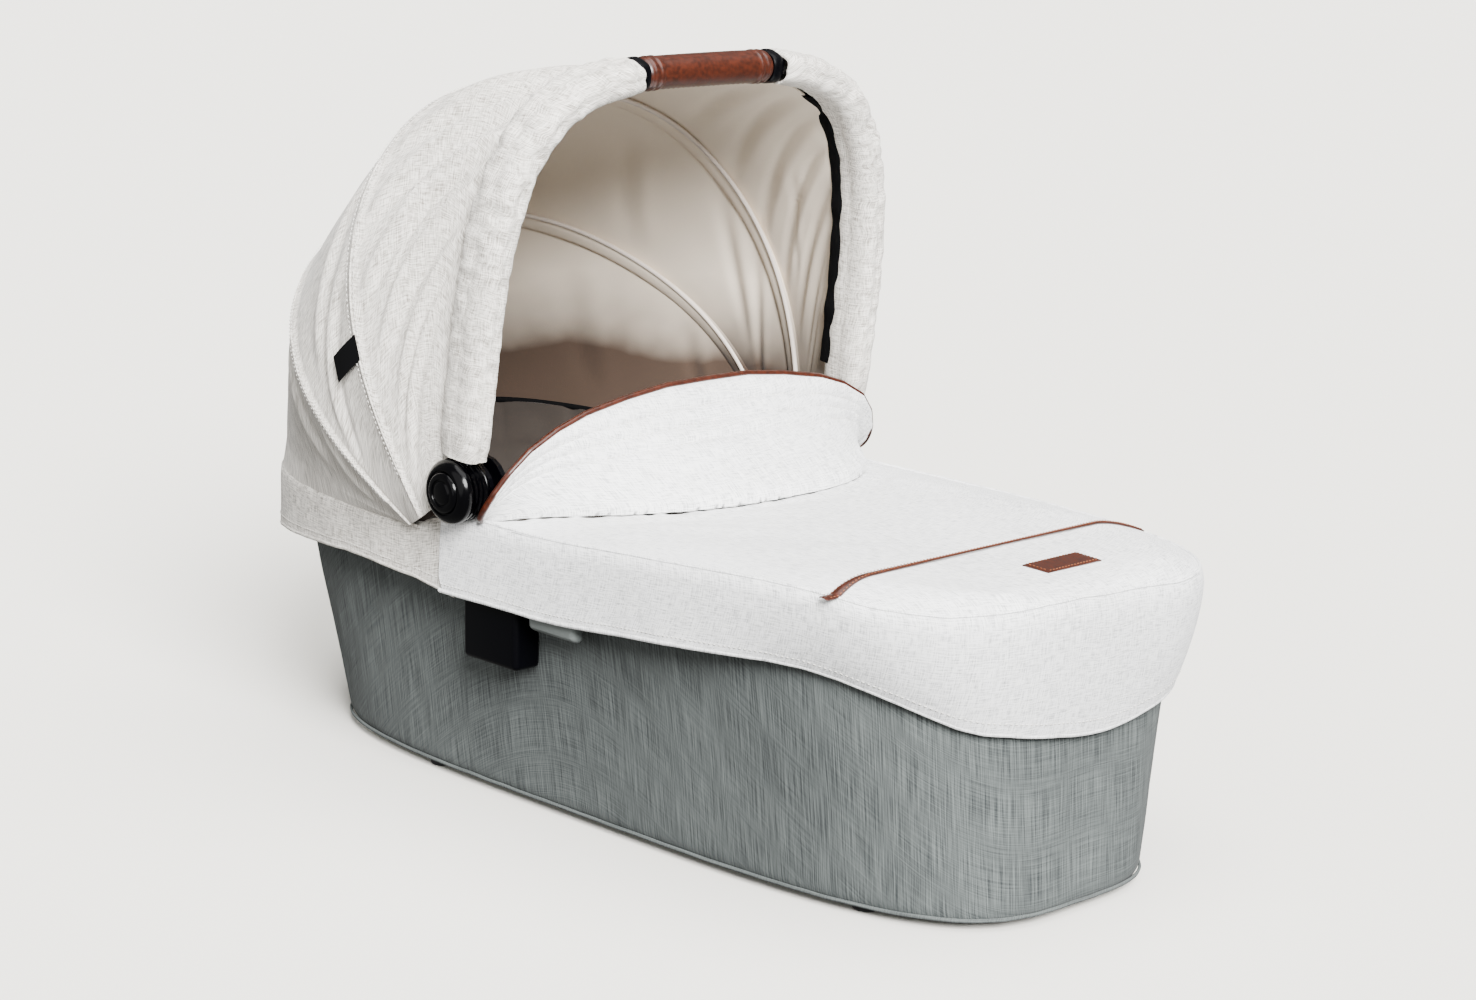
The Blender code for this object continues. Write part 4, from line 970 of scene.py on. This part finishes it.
def hood_surface(u, v, inset=0.0, hem=0.0):
    """The whole hood sheet: v from the bow, over both seams, to the hem along the rim."""
    turn = HOOD_TURN(u)
    last = 0.86
    angle = SECTIONS[0, 0] + 2.6 + (SECTIONS[-1, 0] - SECTIONS[0, 0] - 2.6) * np.clip(v / last, 0, 1)
    reach = np.interp(angle, [-6.4, 0, 5, 8, 11, 14, 90], [0.0300, 0.0345, 0.0320, 0.0265, 0.0140, 0.0040, 0.0040])
    start = np.arcsin((reach / section(angle)[2]) ** (section(angle)[3] / 2))
    t = start + (math.pi - 2 * start) * turn / math.pi
    x, y, z = hood_point(angle, t, inset)
    hem_turn = HEM_TURN(u)
    hx, hy = ring(hem_turn, grow(RIM, 0.0022 - inset))
    ease = eased(fading(v - last, 1 - last))
    hz = BAND_TOP_Z - 0.002 + hem
    return (x + (hx - x) * ease, y + (hy - y) * ease, z + (hz - z) * ease, angle, t)


HEM_TURN = even_turns(turn_at(0.126), math.pi - turn_at(0.126))

# Tension folds in the front panel: angle and share of the half section at each end, half width, height.
HOOD_FOLDS = [
    ((-3.0, 0.52), (17.0, 0.27), 0.0083, 0.0112), ((-3.0, 0.63), (19.5, 0.38), 0.0075, 0.0112),
    ((-3.0, 0.73), (20.5, 0.50), 0.0083, 0.0105), ((-3.0, 0.83), (20.5, 0.63), 0.0090, 0.0090),
    ((-3.0, 0.92), (20.5, 0.77), 0.0105, 0.0067), ((-2.0, 0.42), (15.0, 0.17), 0.0067, 0.0075),
    ((1.0, 0.33), (16.0, 0.09), 0.0075, 0.0054), ((6.0, 0.60), (14.0, 0.36), 0.0053, 0.0051),
    ((24.0, 0.62), (40.0, 0.34), 0.0105, 0.0069), ((24.0, 0.48), (44.0, 0.20), 0.0090, 0.0063),
    ((52.0, 0.50), (76.0, 0.30), 0.0120, 0.0054), ((50.0, 0.30), (78.0, 0.16), 0.0097, 0.0051),
    ((26.0, 0.85), (44.0, 0.70), 0.0120, 0.0051), ((54.0, 0.78), (80.0, 0.62), 0.0135, 0.0045),
]


def hood_relief(u, angle, outside=True):
    """How far the hood cloth stands out: it sags between its ribs and pulls into folds."""
    half = 1 - np.abs(2 * u - 1)
    hand = np.where(u > 0.5, 1.0, 1.18)
    out = np.zeros_like(angle)
    edges = (-6.4, *SEAMS, 85.0)
    for a, b in zip(edges, edges[1:]):
        t = np.clip((angle - a) / (b - a), 0, 1)
        out -= 0.0055 * np.sin(math.pi * t) ** 0.8 * np.clip(half / 0.25, 0, 1) * ((angle >= a) & (angle < b))
    per_degree, girth = 0.0056, 0.48      # metres of cloth for a degree of lean, and up half a section
    for (a0, h0), (a1, h1), width, height in HOOD_FOLDS:
        ends = (a0 * per_degree, h0 * girth), (a1 * per_degree, h1 * girth)
        here = crease_at(angle * per_degree, half * girth * hand, *ends, width)
        beside = crease_at(angle * per_degree, half * girth * hand + 1.5 * width, *ends, width)
        out += height * here - 0.6 * height * beside
    if outside:
        for seam in SEAMS:
            near = np.abs(angle - seam)
            out += 0.0016 * np.exp(-(near / 0.9) ** 2) - 0.0008 * np.exp(-((near - 1.8) / 0.8) ** 2)
    return out


def from_core(x, y, z):
    """Roughly the way out of the hood, from the line between its pins."""
    return x * 0.55, y - 0.11, z - 0.24


def pushed(x, y, z, out):
    """Points moved out of the hood."""
    ax, ay, az = from_core(x, y, z)
    size = np.sqrt(ax ** 2 + ay ** 2 + az ** 2) + 1e-6
    return x + out * ax / size, y + out * ay / size, z + out * az / size


def make_canopy():
    def outer(u, v):
        x, y, z, angle, _ = hood_surface(u, v)
        out = hood_relief(u, angle) * np.clip((0.985 - v) / 0.08, 0, 1) * np.clip(v / 0.02, 0, 1)
        out = out + 0.0010 * rough(x, y, z, 0.045, 3.3) * np.clip((1 - v) / 0.06, 0, 1)
        return pushed(x, y, z, out)

    canopy = sewn("hood_canopy", 260, 170, outer, HOOD_CORE, CANOPY_THICK)
    dress(canopy, OATMEAL, None,
          ["hood_panel_front", "hood_panel_middle", "hood_panel_rear", "hood_back"])
    follow_hood(canopy)

    def inner(u, v):
        x, y, z, angle, _ = hood_surface(u, v, inset=0.012, hem=0.006)
        out = hood_relief(u, angle, outside=False) * 0.8 * np.clip((0.985 - v) / 0.1, 0, 1) * np.clip(v / 0.02, 0, 1)
        out = out + 0.0016 * rough(x, y, z, 0.05, 5.1)
        return pushed(x, y, z, out)

    lining = sewn("hood_lining", 200, 130, inner, HOOD_CORE, LINING_THICK, inside=True)
    dress(lining, LINING)
    follow_hood(lining)


PIN_GAP = 0.012                     # turn left free next to each pin, in radians


def make_hood_seams():
    """Raised welts outside, and the ribs' cloth sleeves with their piping inside."""
    turns = HOOD_TURN(np.linspace(0.035, 0.965, 220))
    for name, angle, node in (("front", SEAMS[0], "rib_front"), ("rear", SEAMS[1], "rib_rear")):
        lean = math.radians(angle)
        normal = (0.0, math.cos(lean), -math.sin(lean))
        t = PIN_GAP + (math.pi - 2 * PIN_GAP) * turns / math.pi
        x, y, z = hood_point(np.full_like(t, angle), t)
        path = line(*pushed(x, y, z, 0.0010))
        welt = swept(f"hood_welt_{name}", path, (0.0008, 0.0011), normal, around=8)
        dress(welt, OATMEAL, follow=follow_hood)
        for side, step in (("fore", -0.9), ("aft", 0.9)):
            x, y, z = hood_point(np.full_like(t, angle + step), t)
            seam = stitched(f"hood_stitches_{name}_{side}", line(*pushed(x, y, z, 0.0019)), line(*from_core(x, y, z)))
            dress(seam, THREAD, follow=follow_hood)
        for part, ahead, inset, half_sizes, around, finish, nodes in (
            ("sleeve", 0.0, 0.0145, (0.0024, 0.0080), 12, LINING, [node]),
            ("piping", 1.5, 0.0165, (0.0021, 0.0021), 10, PIPING, []),
        ):
            path = line(*hood_point(np.full_like(t, angle - ahead), t, inset=inset))
            cord = swept(f"rib_{part}_{name}", path, half_sizes, normal, around=around)
            dress(cord, finish, stands_for=nodes, follow=follow_hood)


def make_gap_shade_strips():
    """Black strips along the inside of each bow, between the lining and the sleeve: painted shade for the dark gap
    there.
    """
    for hand, side in (("right", 1), ("left", -1)):
        path, length = bow_path(side, turn_at_reach(0.0500), turn_at_x(0.1500), 160)
        middle = np.array([0.0, HINGE[0], HINGE[1] + 0.13])
        inward = middle - path
        inward /= np.linalg.norm(inward, axis=1)[:, None]
        run = np.linspace(0, length, len(path))
        path = path + inward * (0.0120 + 0.0018 * rough(run, 0.0, 0.0, 0.02, 4.0 * side))[:, None]
        path[:, 1] += 0.0150
        # Painted shade: a black strip where the gap between lining and sleeve lies in shadow.
        shade_strip = swept(f"hood_gap_shade_{hand}", path, (0.0022, 0.0075), BOW_NORMAL, around=12)
        dress(shade_strip, INK, "front_bow")


def make_tag():
    """Blank woven tag folded round the front seam on one side."""
    angle = SEAMS[0]
    shares = np.linspace(0.5, 1, 400)
    t = PIN_GAP + (math.pi - 2 * PIN_GAP) * HOOD_TURN(shares) / math.pi
    seam = line(*hood_point(np.full_like(t, angle), t))
    at = int(np.argmin(np.abs(seam[:, 2] - 0.3725)))
    middle = seam[at]
    run = seam[at + 1] - middle
    run /= np.linalg.norm(run)
    side = line(*hood_point(np.array([angle + 3.0]), t[at:at + 1]))[0] - middle
    side /= np.linalg.norm(side)
    out = np.cross(side, run)
    out *= math.copysign(1, out[0] * middle[0])

    def point(u, v):
        a, b = (u - 0.06) * 0.034, (0.5 - v) * 0.021
        lift = 0.0022 + 0.0010 * np.sin(u * math.pi)
        places = middle + a[..., None] * side - b[..., None] * run + lift[..., None] * out
        return places[..., 0], places[..., 1], places[..., 2]

    tag = sewn("blank_tag", 20, 12, point, (0, CENTRE_Y + 0.1, 0.3), TAG_THICK, angle=40.0)
    dress(tag, INK)
    follow_hood(tag, share=float(np.interp(30.0, FOLD_ANGLES, FOLD_SHARES)))


# ---------------------------------------------------------------- bow, sleeves and grip
BOW = (0.2173, 0.3250, 4.0, -6.4)   # half width, height, roundness, lean


def bow_point(turn):
    half_width, height, power, lean = BOW
    c, s = np.cos(turn), np.sin(turn)
    x = half_width * np.sign(c) * np.abs(c) ** (2 / power)
    reach = height * np.abs(s) ** (2 / power)
    lean = math.radians(lean)
    return np.stack([x, HINGE[0] + reach * math.sin(lean), HINGE[1] + reach * math.cos(lean)], axis=-1)


BOW_NORMAL = (0.0, math.cos(math.radians(BOW[3])), -math.sin(math.radians(BOW[3])))


def bow_path(side, start, end, count):
    """Points evenly spaced along the bow between two turns on one side of it, and their length."""
    if side < 0:
        start, end = math.pi - start, math.pi - end
    fine = np.linspace(start, end, 3001)
    run = run_along(*bow_point(fine).T)
    return bow_point(np.interp(np.linspace(0, run[-1], count), run, fine)), run[-1]


def turn_at_reach(reach):
    return math.asin((reach / BOW[1]) ** (BOW[2] / 2))


def turn_at_x(x):
    return math.acos((x / BOW[0]) ** (BOW[2] / 2))


SLEEVE_HALF = (0.0140, 0.0215)      # half sizes across the bow's plane and along it
GRIP_HALF = (0.0135, 0.0145)
COLLAR_HALF = (0.0142, 0.0155)


def make_sleeves():
    for hand, side in (("right", 1), ("left", -1)):
        path, length = bow_path(side, turn_at_reach(0.0275), turn_at_x(0.0800), 240)

        def crumple(u, turn):
            run = u * length
            inner = 0.5 - 0.5 * np.cos(turn) * side
            pucker = rough(run, 0.015 * np.cos(turn), 0.015 * np.sin(turn), 0.0095, 11.0 * side)
            long = rough(run * 0.4, 0.03 * np.cos(turn), 0.03 * np.sin(turn), 0.02, 5.0 * side)
            curve = np.exp(-((run - 0.26) / 0.11) ** 2)
            mouth = np.exp(-(run / 0.010) ** 2) + np.exp(-((length - run) / 0.008) ** 2)
            corner = 0.16 * np.abs(np.cos(turn) * np.sin(turn)) * 2 - 0.04
            swell = 1.0 + corner + (0.035 + 0.13 * curve * inner + 0.05 * inner) * pucker + 0.06 * long
            return swell * (1 - 0.10 * mouth)

        sleeve = swept(f"bow_cloth_{hand}", path, SLEEVE_HALF, BOW_NORMAL, around=44, shape=crumple, ends=False)
        finish_with(sleeve, "SOLIDIFY", thickness=SLEEVE_THICK, offset=-1)
        smooth(sleeve, 60)
        dress(sleeve, OATMEAL, "front_bow", [f"bow_sleeve_{hand}"])

        seam = swept(f"bow_seam_{hand}", path + np.array(BOW_NORMAL) * 0.0212, (0.0016, 0.0016), BOW_NORMAL, around=8)
        dress(seam, OATMEAL, "front_bow")


def make_grip():
    path, length = bow_path(1, turn_at_x(0.0685), math.pi - turn_at_x(0.0685), 160)

    def wrap(u, turn):
        run = u * length
        swell = 1.0 + 0.006 * rough(run, 0.02 * np.cos(turn), 0.02 * np.sin(turn), 0.012, 1.0)
        for middle in (0.006, 0.0125, length - 0.0125, length - 0.006):
            swell = swell + 0.055 * np.exp(-((run - middle) / 0.0017) ** 2)
        return swell - 0.10 * np.exp(-(run / 0.0012) ** 2) - 0.10 * np.exp(-((length - run) / 0.0012) ** 2)

    grip = swept("leather_grip", path, GRIP_HALF, BOW_NORMAL, around=36, shape=wrap)
    dress(grip, SADDLE, "front_bow", ["grip"])
    across = np.array([0, math.sin(math.radians(BOW[3])), math.cos(math.radians(BOW[3]))])
    low = path[6:-6] - across * 0.0137
    seam = stitched("grip_stitches", low, -across, 0.0036, 0.0020, 0.0005)
    dress(seam, TAN_THREAD, "front_bow")
    for hand, side in (("right", 1), ("left", -1)):
        collar_path, _ = bow_path(side, turn_at_x(0.0688), turn_at_x(0.0800), 16)
        collar = swept(f"grip_end_{hand}", collar_path, COLLAR_HALF, BOW_NORMAL, around=36,
                       shape=lambda u, turn: 1.0 - 0.08 * np.abs(2 * u - 1) ** 3 + 0.03 * np.sin(5 * turn))
        dress(collar, MATT, "front_bow", [f"grip_collar_{hand}"])


# ---------------------------------------------------------------- wind flap
# The flap from its middle to an end: its fold on the apron, and its free edge.
FLAP_FOLD_X = (0.0, 0.04, 0.08, 0.12, 0.15, 0.18, 0.195, 0.204, 0.2065)
FLAP_EDGE = (
    (0.0, 0.046, 0.090, 0.133, 0.163, 0.190, 0.2065, 0.2160, 0.2185, 0.2160, 0.2085),
    (0.020, 0.020, 0.020, 0.020, 0.020, 0.022, 0.027, 0.034, 0.042, 0.050, 0.0575),
    (0.3410, 0.3405, 0.3355, 0.3280, 0.3185, 0.3045, 0.2880, 0.2715, 0.2585, 0.2495, 0.2445),
)


def flap_sheet(u, v):
    """The flap's middle surface: u across, v from its fold to its free edge."""
    side = np.sign(u - 0.5)
    share = np.abs(2 * u - 1)
    edge = [np.array(values) for values in FLAP_EDGE]
    run = run_along(*edge)
    high_x, high_y, high_z = (np.interp(share * run[-1], run, e) for e in edge)
    low_x = np.interp(share, np.linspace(0, 1, len(FLAP_FOLD_X)), FLAP_FOLD_X)
    low_y = fold_y(low_x)
    low_z = apron_z(low_x * side, low_y) + 0.0015
    bow = 0.012 * np.sin(v * math.pi) * (1 - share ** 3)
    x = low_x + (high_x - low_x) * v
    y = low_y + (high_y - low_y) * v + bow * 0.5
    z = low_z + (high_z - low_z) * v ** 0.92 - bow * 0.2
    return x * side, y, z, share


FLAP_QUILT = (0.52, 0.66, 0.80)      # where its lines of quilting run, as shares of its height


def make_flap():
    def point(u, v):
        share = np.where(v < 0.5, v * 2, 2 - v * 2)
        x, y, z, a = flap_sheet(u, share)
        side = np.where(v < 0.5, -1.0, 1.0)
        pad = 0.0050 * np.clip(share / 0.05, 0, 1) ** 0.5 * np.clip((1 - share) / 0.05, 0, 1) ** 0.5
        for height in FLAP_QUILT:
            pad = pad - 0.0042 * np.exp(-((share - height) / 0.017) ** 2) * (np.abs(a) < 0.86)
        pad = pad * np.clip((1 - np.abs(a)) / 0.05, 0.15, 1)
        pad = pad + 0.0014 * rough(x, y, z, 0.022, 2.2) * np.clip((1 - share) / 0.1, 0, 1)
        pad = pad + 0.0018 * rough(x, 0, 0, 0.007, 3.0) * np.exp(-(share / 0.25) ** 2)
        return x, y + side * pad * 0.72, z - side * pad * 0.69

    flap = cloth_grid("padded_flap", 220, 72, point, closed="v")
    merge(flap, 0.0003)
    turn_out(flap)
    smooth(flap, 60)
    dress(flap, LINEN, stands_for=["wind_flap"])
    follow_flap(flap)

    u = np.linspace(0.004, 0.996, 260)
    x, y, z, _ = flap_sheet(u, np.ones_like(u))
    piping = swept("flap_leather_piping", line(x, y + 0.001, z + 0.0012), (0.0026, 0.0026), (0, 0.7, 0.7), around=10)
    dress(piping, SADDLE, stands_for=["flap_piping"], follow=follow_flap)
    u = np.linspace(0.14, 0.86, 200)
    for number, height in enumerate(FLAP_QUILT):
        x, y, z, _ = flap_sheet(u, np.full_like(u, height))
        seam = stitched(f"flap_stitches_{number}", line(x, y - 0.0016, z + 0.0015), (0, -0.7, 0.7))
        dress(seam, THREAD, follow=follow_flap)


def follow_flap(piece):
    """Bakes a piece's place into its mesh."""
    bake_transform(piece)
    places = points_of(piece)
    set_blend(piece)


# ---------------------------------------------------------------- hinges
def turned_about_pin(name, side, profile, steps=64):
    """A piece turned about the hood's pin: rings of (distance from the middle line, radius), each extruded."""
    deselect()
    x, radius = profile[0]
    bpy.ops.mesh.primitive_circle_add(vertices=steps, radius=radius, fill_type="NGON",
                                      location=(side * x, PIN_Y, PIN_Z), rotation=(0, math.pi / 2, 0))
    piece = just_made(name)
    bpy.ops.object.mode_set(mode="EDIT")
    bpy.ops.mesh.select_all(action="SELECT")
    for next_x, next_radius in profile[1:]:
        bpy.ops.mesh.extrude_region_move(TRANSFORM_OT_translate={"value": (side * (next_x - x), 0, 0)})
        scale = next_radius / radius
        bpy.ops.transform.resize(value=(1, scale, scale), center_override=(side * next_x, PIN_Y, PIN_Z))
        x, radius = next_x, next_radius
    bpy.ops.object.mode_set(mode="OBJECT")
    merge(piece, 0.000002)
    turn_out(piece)
    return piece


def make_hinges():
    for hand, side in (("left", -1), ("right", 1)):
        groove = [(0.2055, 0.0205), (0.2062, 0.0218)]
        for step in range(4):
            x = 0.2072 + 0.0046 * step
            groove += [(x, 0.0236 if step else 0.0226), (x + 0.0006, 0.0246 if step else 0.0234),
                       (x + 0.0030, 0.0248 if step else 0.0240), (x + 0.0036, 0.0236)]
        knuckle = turned_about_pin(f"hinge_barrel_{hand}", side, groove)
        smooth(knuckle, 35)
        dress(knuckle, GLOSS, "front_bow", [f"bow_knuckle_{hand}"])
        dome = [(0.2262, 0.0245), (0.2268, 0.0256), (0.2278, 0.0260), (0.2302, 0.0260), (0.2316, 0.0255),
                (0.2336, 0.0241), (0.2352, 0.0226), (0.2364, 0.0208), (0.2372, 0.0190), (0.2371, 0.0181),
                (0.2360, 0.0177), (0.2358, 0.0170), (0.2366, 0.0164), (0.2380, 0.0158), (0.2388, 0.0146),
                (0.2392, 0.0122), (0.2391, 0.0110), (0.2382, 0.0106), (0.2380, 0.0098), (0.2388, 0.0090),
                (0.2394, 0.0070), (0.2396, 0.0004)]
        cap = turned_about_pin(f"hinge_dome_{hand}", side, dome, steps=80)
        smooth(cap, 35)
        dress(cap, GLOSS, "cot", [f"hinge_cap_{hand}"])


# ---------------------------------------------------------------- adapters
def block(name, low, high, bevel, segments=5):
    """A cube brought to size between two corners, with rounded edges."""
    low, high = Vector(low), Vector(high)
    deselect()
    bpy.ops.mesh.primitive_cube_add(size=1.0, location=(low + high) / 2, scale=high - low)
    piece = just_made(name)
    finish_with(piece, "BEVEL", width=bevel, segments=segments)
    smooth(piece)
    return piece


def lean_outer(piece, low, high, side, inward):
    """Leans the outer face of a block towards the tub, by inward(heights) at each point."""
    places = points_of(piece)
    outer = np.abs(places[:, 0]) > (abs(low.x) + abs(high.x)) / 2
    places[outer, 0] -= side * inward(places[outer, 2])
    move_points(piece, places)


def make_adapters():
    for hand, side in (("left", -1), ("right", 1)):
        low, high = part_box(f"adapter_{hand}")
        block_start = CENTRE_Y + 0.0175     # the block's end towards the foot; only the arm reaches past it
        case = block(f"adapter_case_{hand}", (low.x, block_start, low.z), high, 0.0048, segments=6)
        lean_outer(case, low, high, side, lambda z: 0.0018 * fading(high.z - z, high.z - low.z))
        socket = (low.x + 0.0035, low.x + 0.0135) if side < 0 else (high.x - 0.0135, high.x - 0.0035)
        mouth = block(f"socket_cutter_{hand}", (socket[0], CENTRE_Y + 0.034, low.z - 0.01),
                      (socket[1], CENTRE_Y + 0.070, low.z + 0.060), 0.0006, segments=1)
        finish_with(case, "BOOLEAN", operation="DIFFERENCE", object=mouth, solver="EXACT")
        bpy.data.objects.remove(mouth, do_unlink=True)
        smooth(case, 30)
        dress(case, MATT, "cot", [f"adapter_{hand}"])
        arm_low, arm_high = low.copy(), high.copy()
        low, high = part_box(f"release_button_{hand}")
        arm = block(f"adapter_arm_{hand}", (arm_low.x, arm_low.y, low.z + 0.0288),
                    (arm_high.x, block_start + 0.004, arm_high.z), 0.0015)
        dress(arm, MATT, "cot")
        neck = block(f"button_neck_{hand}", (low.x + 0.004, low.y + 0.026, low.z + 0.016),
                     (high.x - 0.004, high.y, low.z + 0.0282), 0.0010)
        dress(neck, BUTTON, f"button_{hand}")
        pad = block(f"button_pad_{hand}", (low.x, low.y + 0.018, low.z - 0.0004),
                    (high.x, high.y + 0.012, low.z + 0.0196), 0.0052, segments=7)
        lean_outer(pad, low, high, side, lambda z: 0.0040 * fading(low.z + 0.010 - z, 0.010) ** 2)
        dress(pad, BUTTON, f"button_{hand}", [f"release_button_{hand}"])


# ---------------------------------------------------------------- what stays as it was packed
def repaint_frame():
    finishes = {
        "base_board": MATT, "rim_tube_foot": ALLOY, "rim_tube_head": ALLOY, "hood_bow": ALLOY,
        "stay_foot": STEEL, "stay_head": STEEL,
    }
    for hand in ("left", "right"):
        for node in ("stay_clip_foot", "stay_clip_head", "rim_peg", "hinge_plate", "hinge_detent"):
            finishes[f"{node}_{hand}"] = MATT
        for node in ("hinge_pin", "latch_bolt", "button_spring"):
            finishes[f"{node}_{hand}"] = STEEL
    for node, finish in finishes.items():
        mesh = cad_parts[node].data
        mesh.materials.clear()
        mesh.materials.append(finish)


# ---------------------------------------------------------------- floor and light
# Soft lamps: name, turn from the foot end, rise, spread, all in degrees, and strength.
LAMPS = (("key", -27.0, 34.0, 28.0, 13.0), ("top", 10.0, 78.0, 60.0, 4.2), ("fill", -80.0, 22.0, 60.0, 1.0))


def make_stage():
    """A wide sheet of pale studio paper under soft lamps; it lights nothing from below."""
    deselect()
    bpy.ops.mesh.primitive_plane_add(size=60.0, location=(0, 0, -0.0004))
    floor = bpy.context.object
    floor.name = "floor"
    paper, _, shader = start_material("studio_paper", "F2EFE7", 1.0)
    shader.inputs["Specular IOR Level"].default_value = 0.0
    floor.data.materials.append(paper)
    floor.visible_diffuse = False
    floor.visible_glossy = False
    world = bpy.data.worlds.new("studio")
    bpy.context.scene.world = world
    world.use_nodes = True
    sky = world.node_tree.nodes["Background"]
    sky.inputs["Color"].default_value = colour("FBFAF6")
    sky.inputs["Strength"].default_value = 0.33
    for name, turn, rise, spread, power in LAMPS:
        bpy.ops.object.light_add(type="SUN", location=(0, 0, 3))
        lamp = bpy.context.object
        lamp.name = name
        lamp.data.angle = math.radians(spread)
        lamp.data.energy = power
        lamp.rotation_euler = towards(math.radians(turn), math.radians(rise)).to_track_quat("Z", "Y").to_euler()


for make in (
    aim_camera, make_tub, make_feet, make_liner, make_mattress, make_apron_top, make_skirt, make_band, make_strap,
    make_patch, make_canopy, make_hood_seams, make_tag, make_gap_shade_strips, make_sleeves, make_grip, make_flap,
    make_hinges, make_adapters, repaint_frame, make_stage,
):
    make()
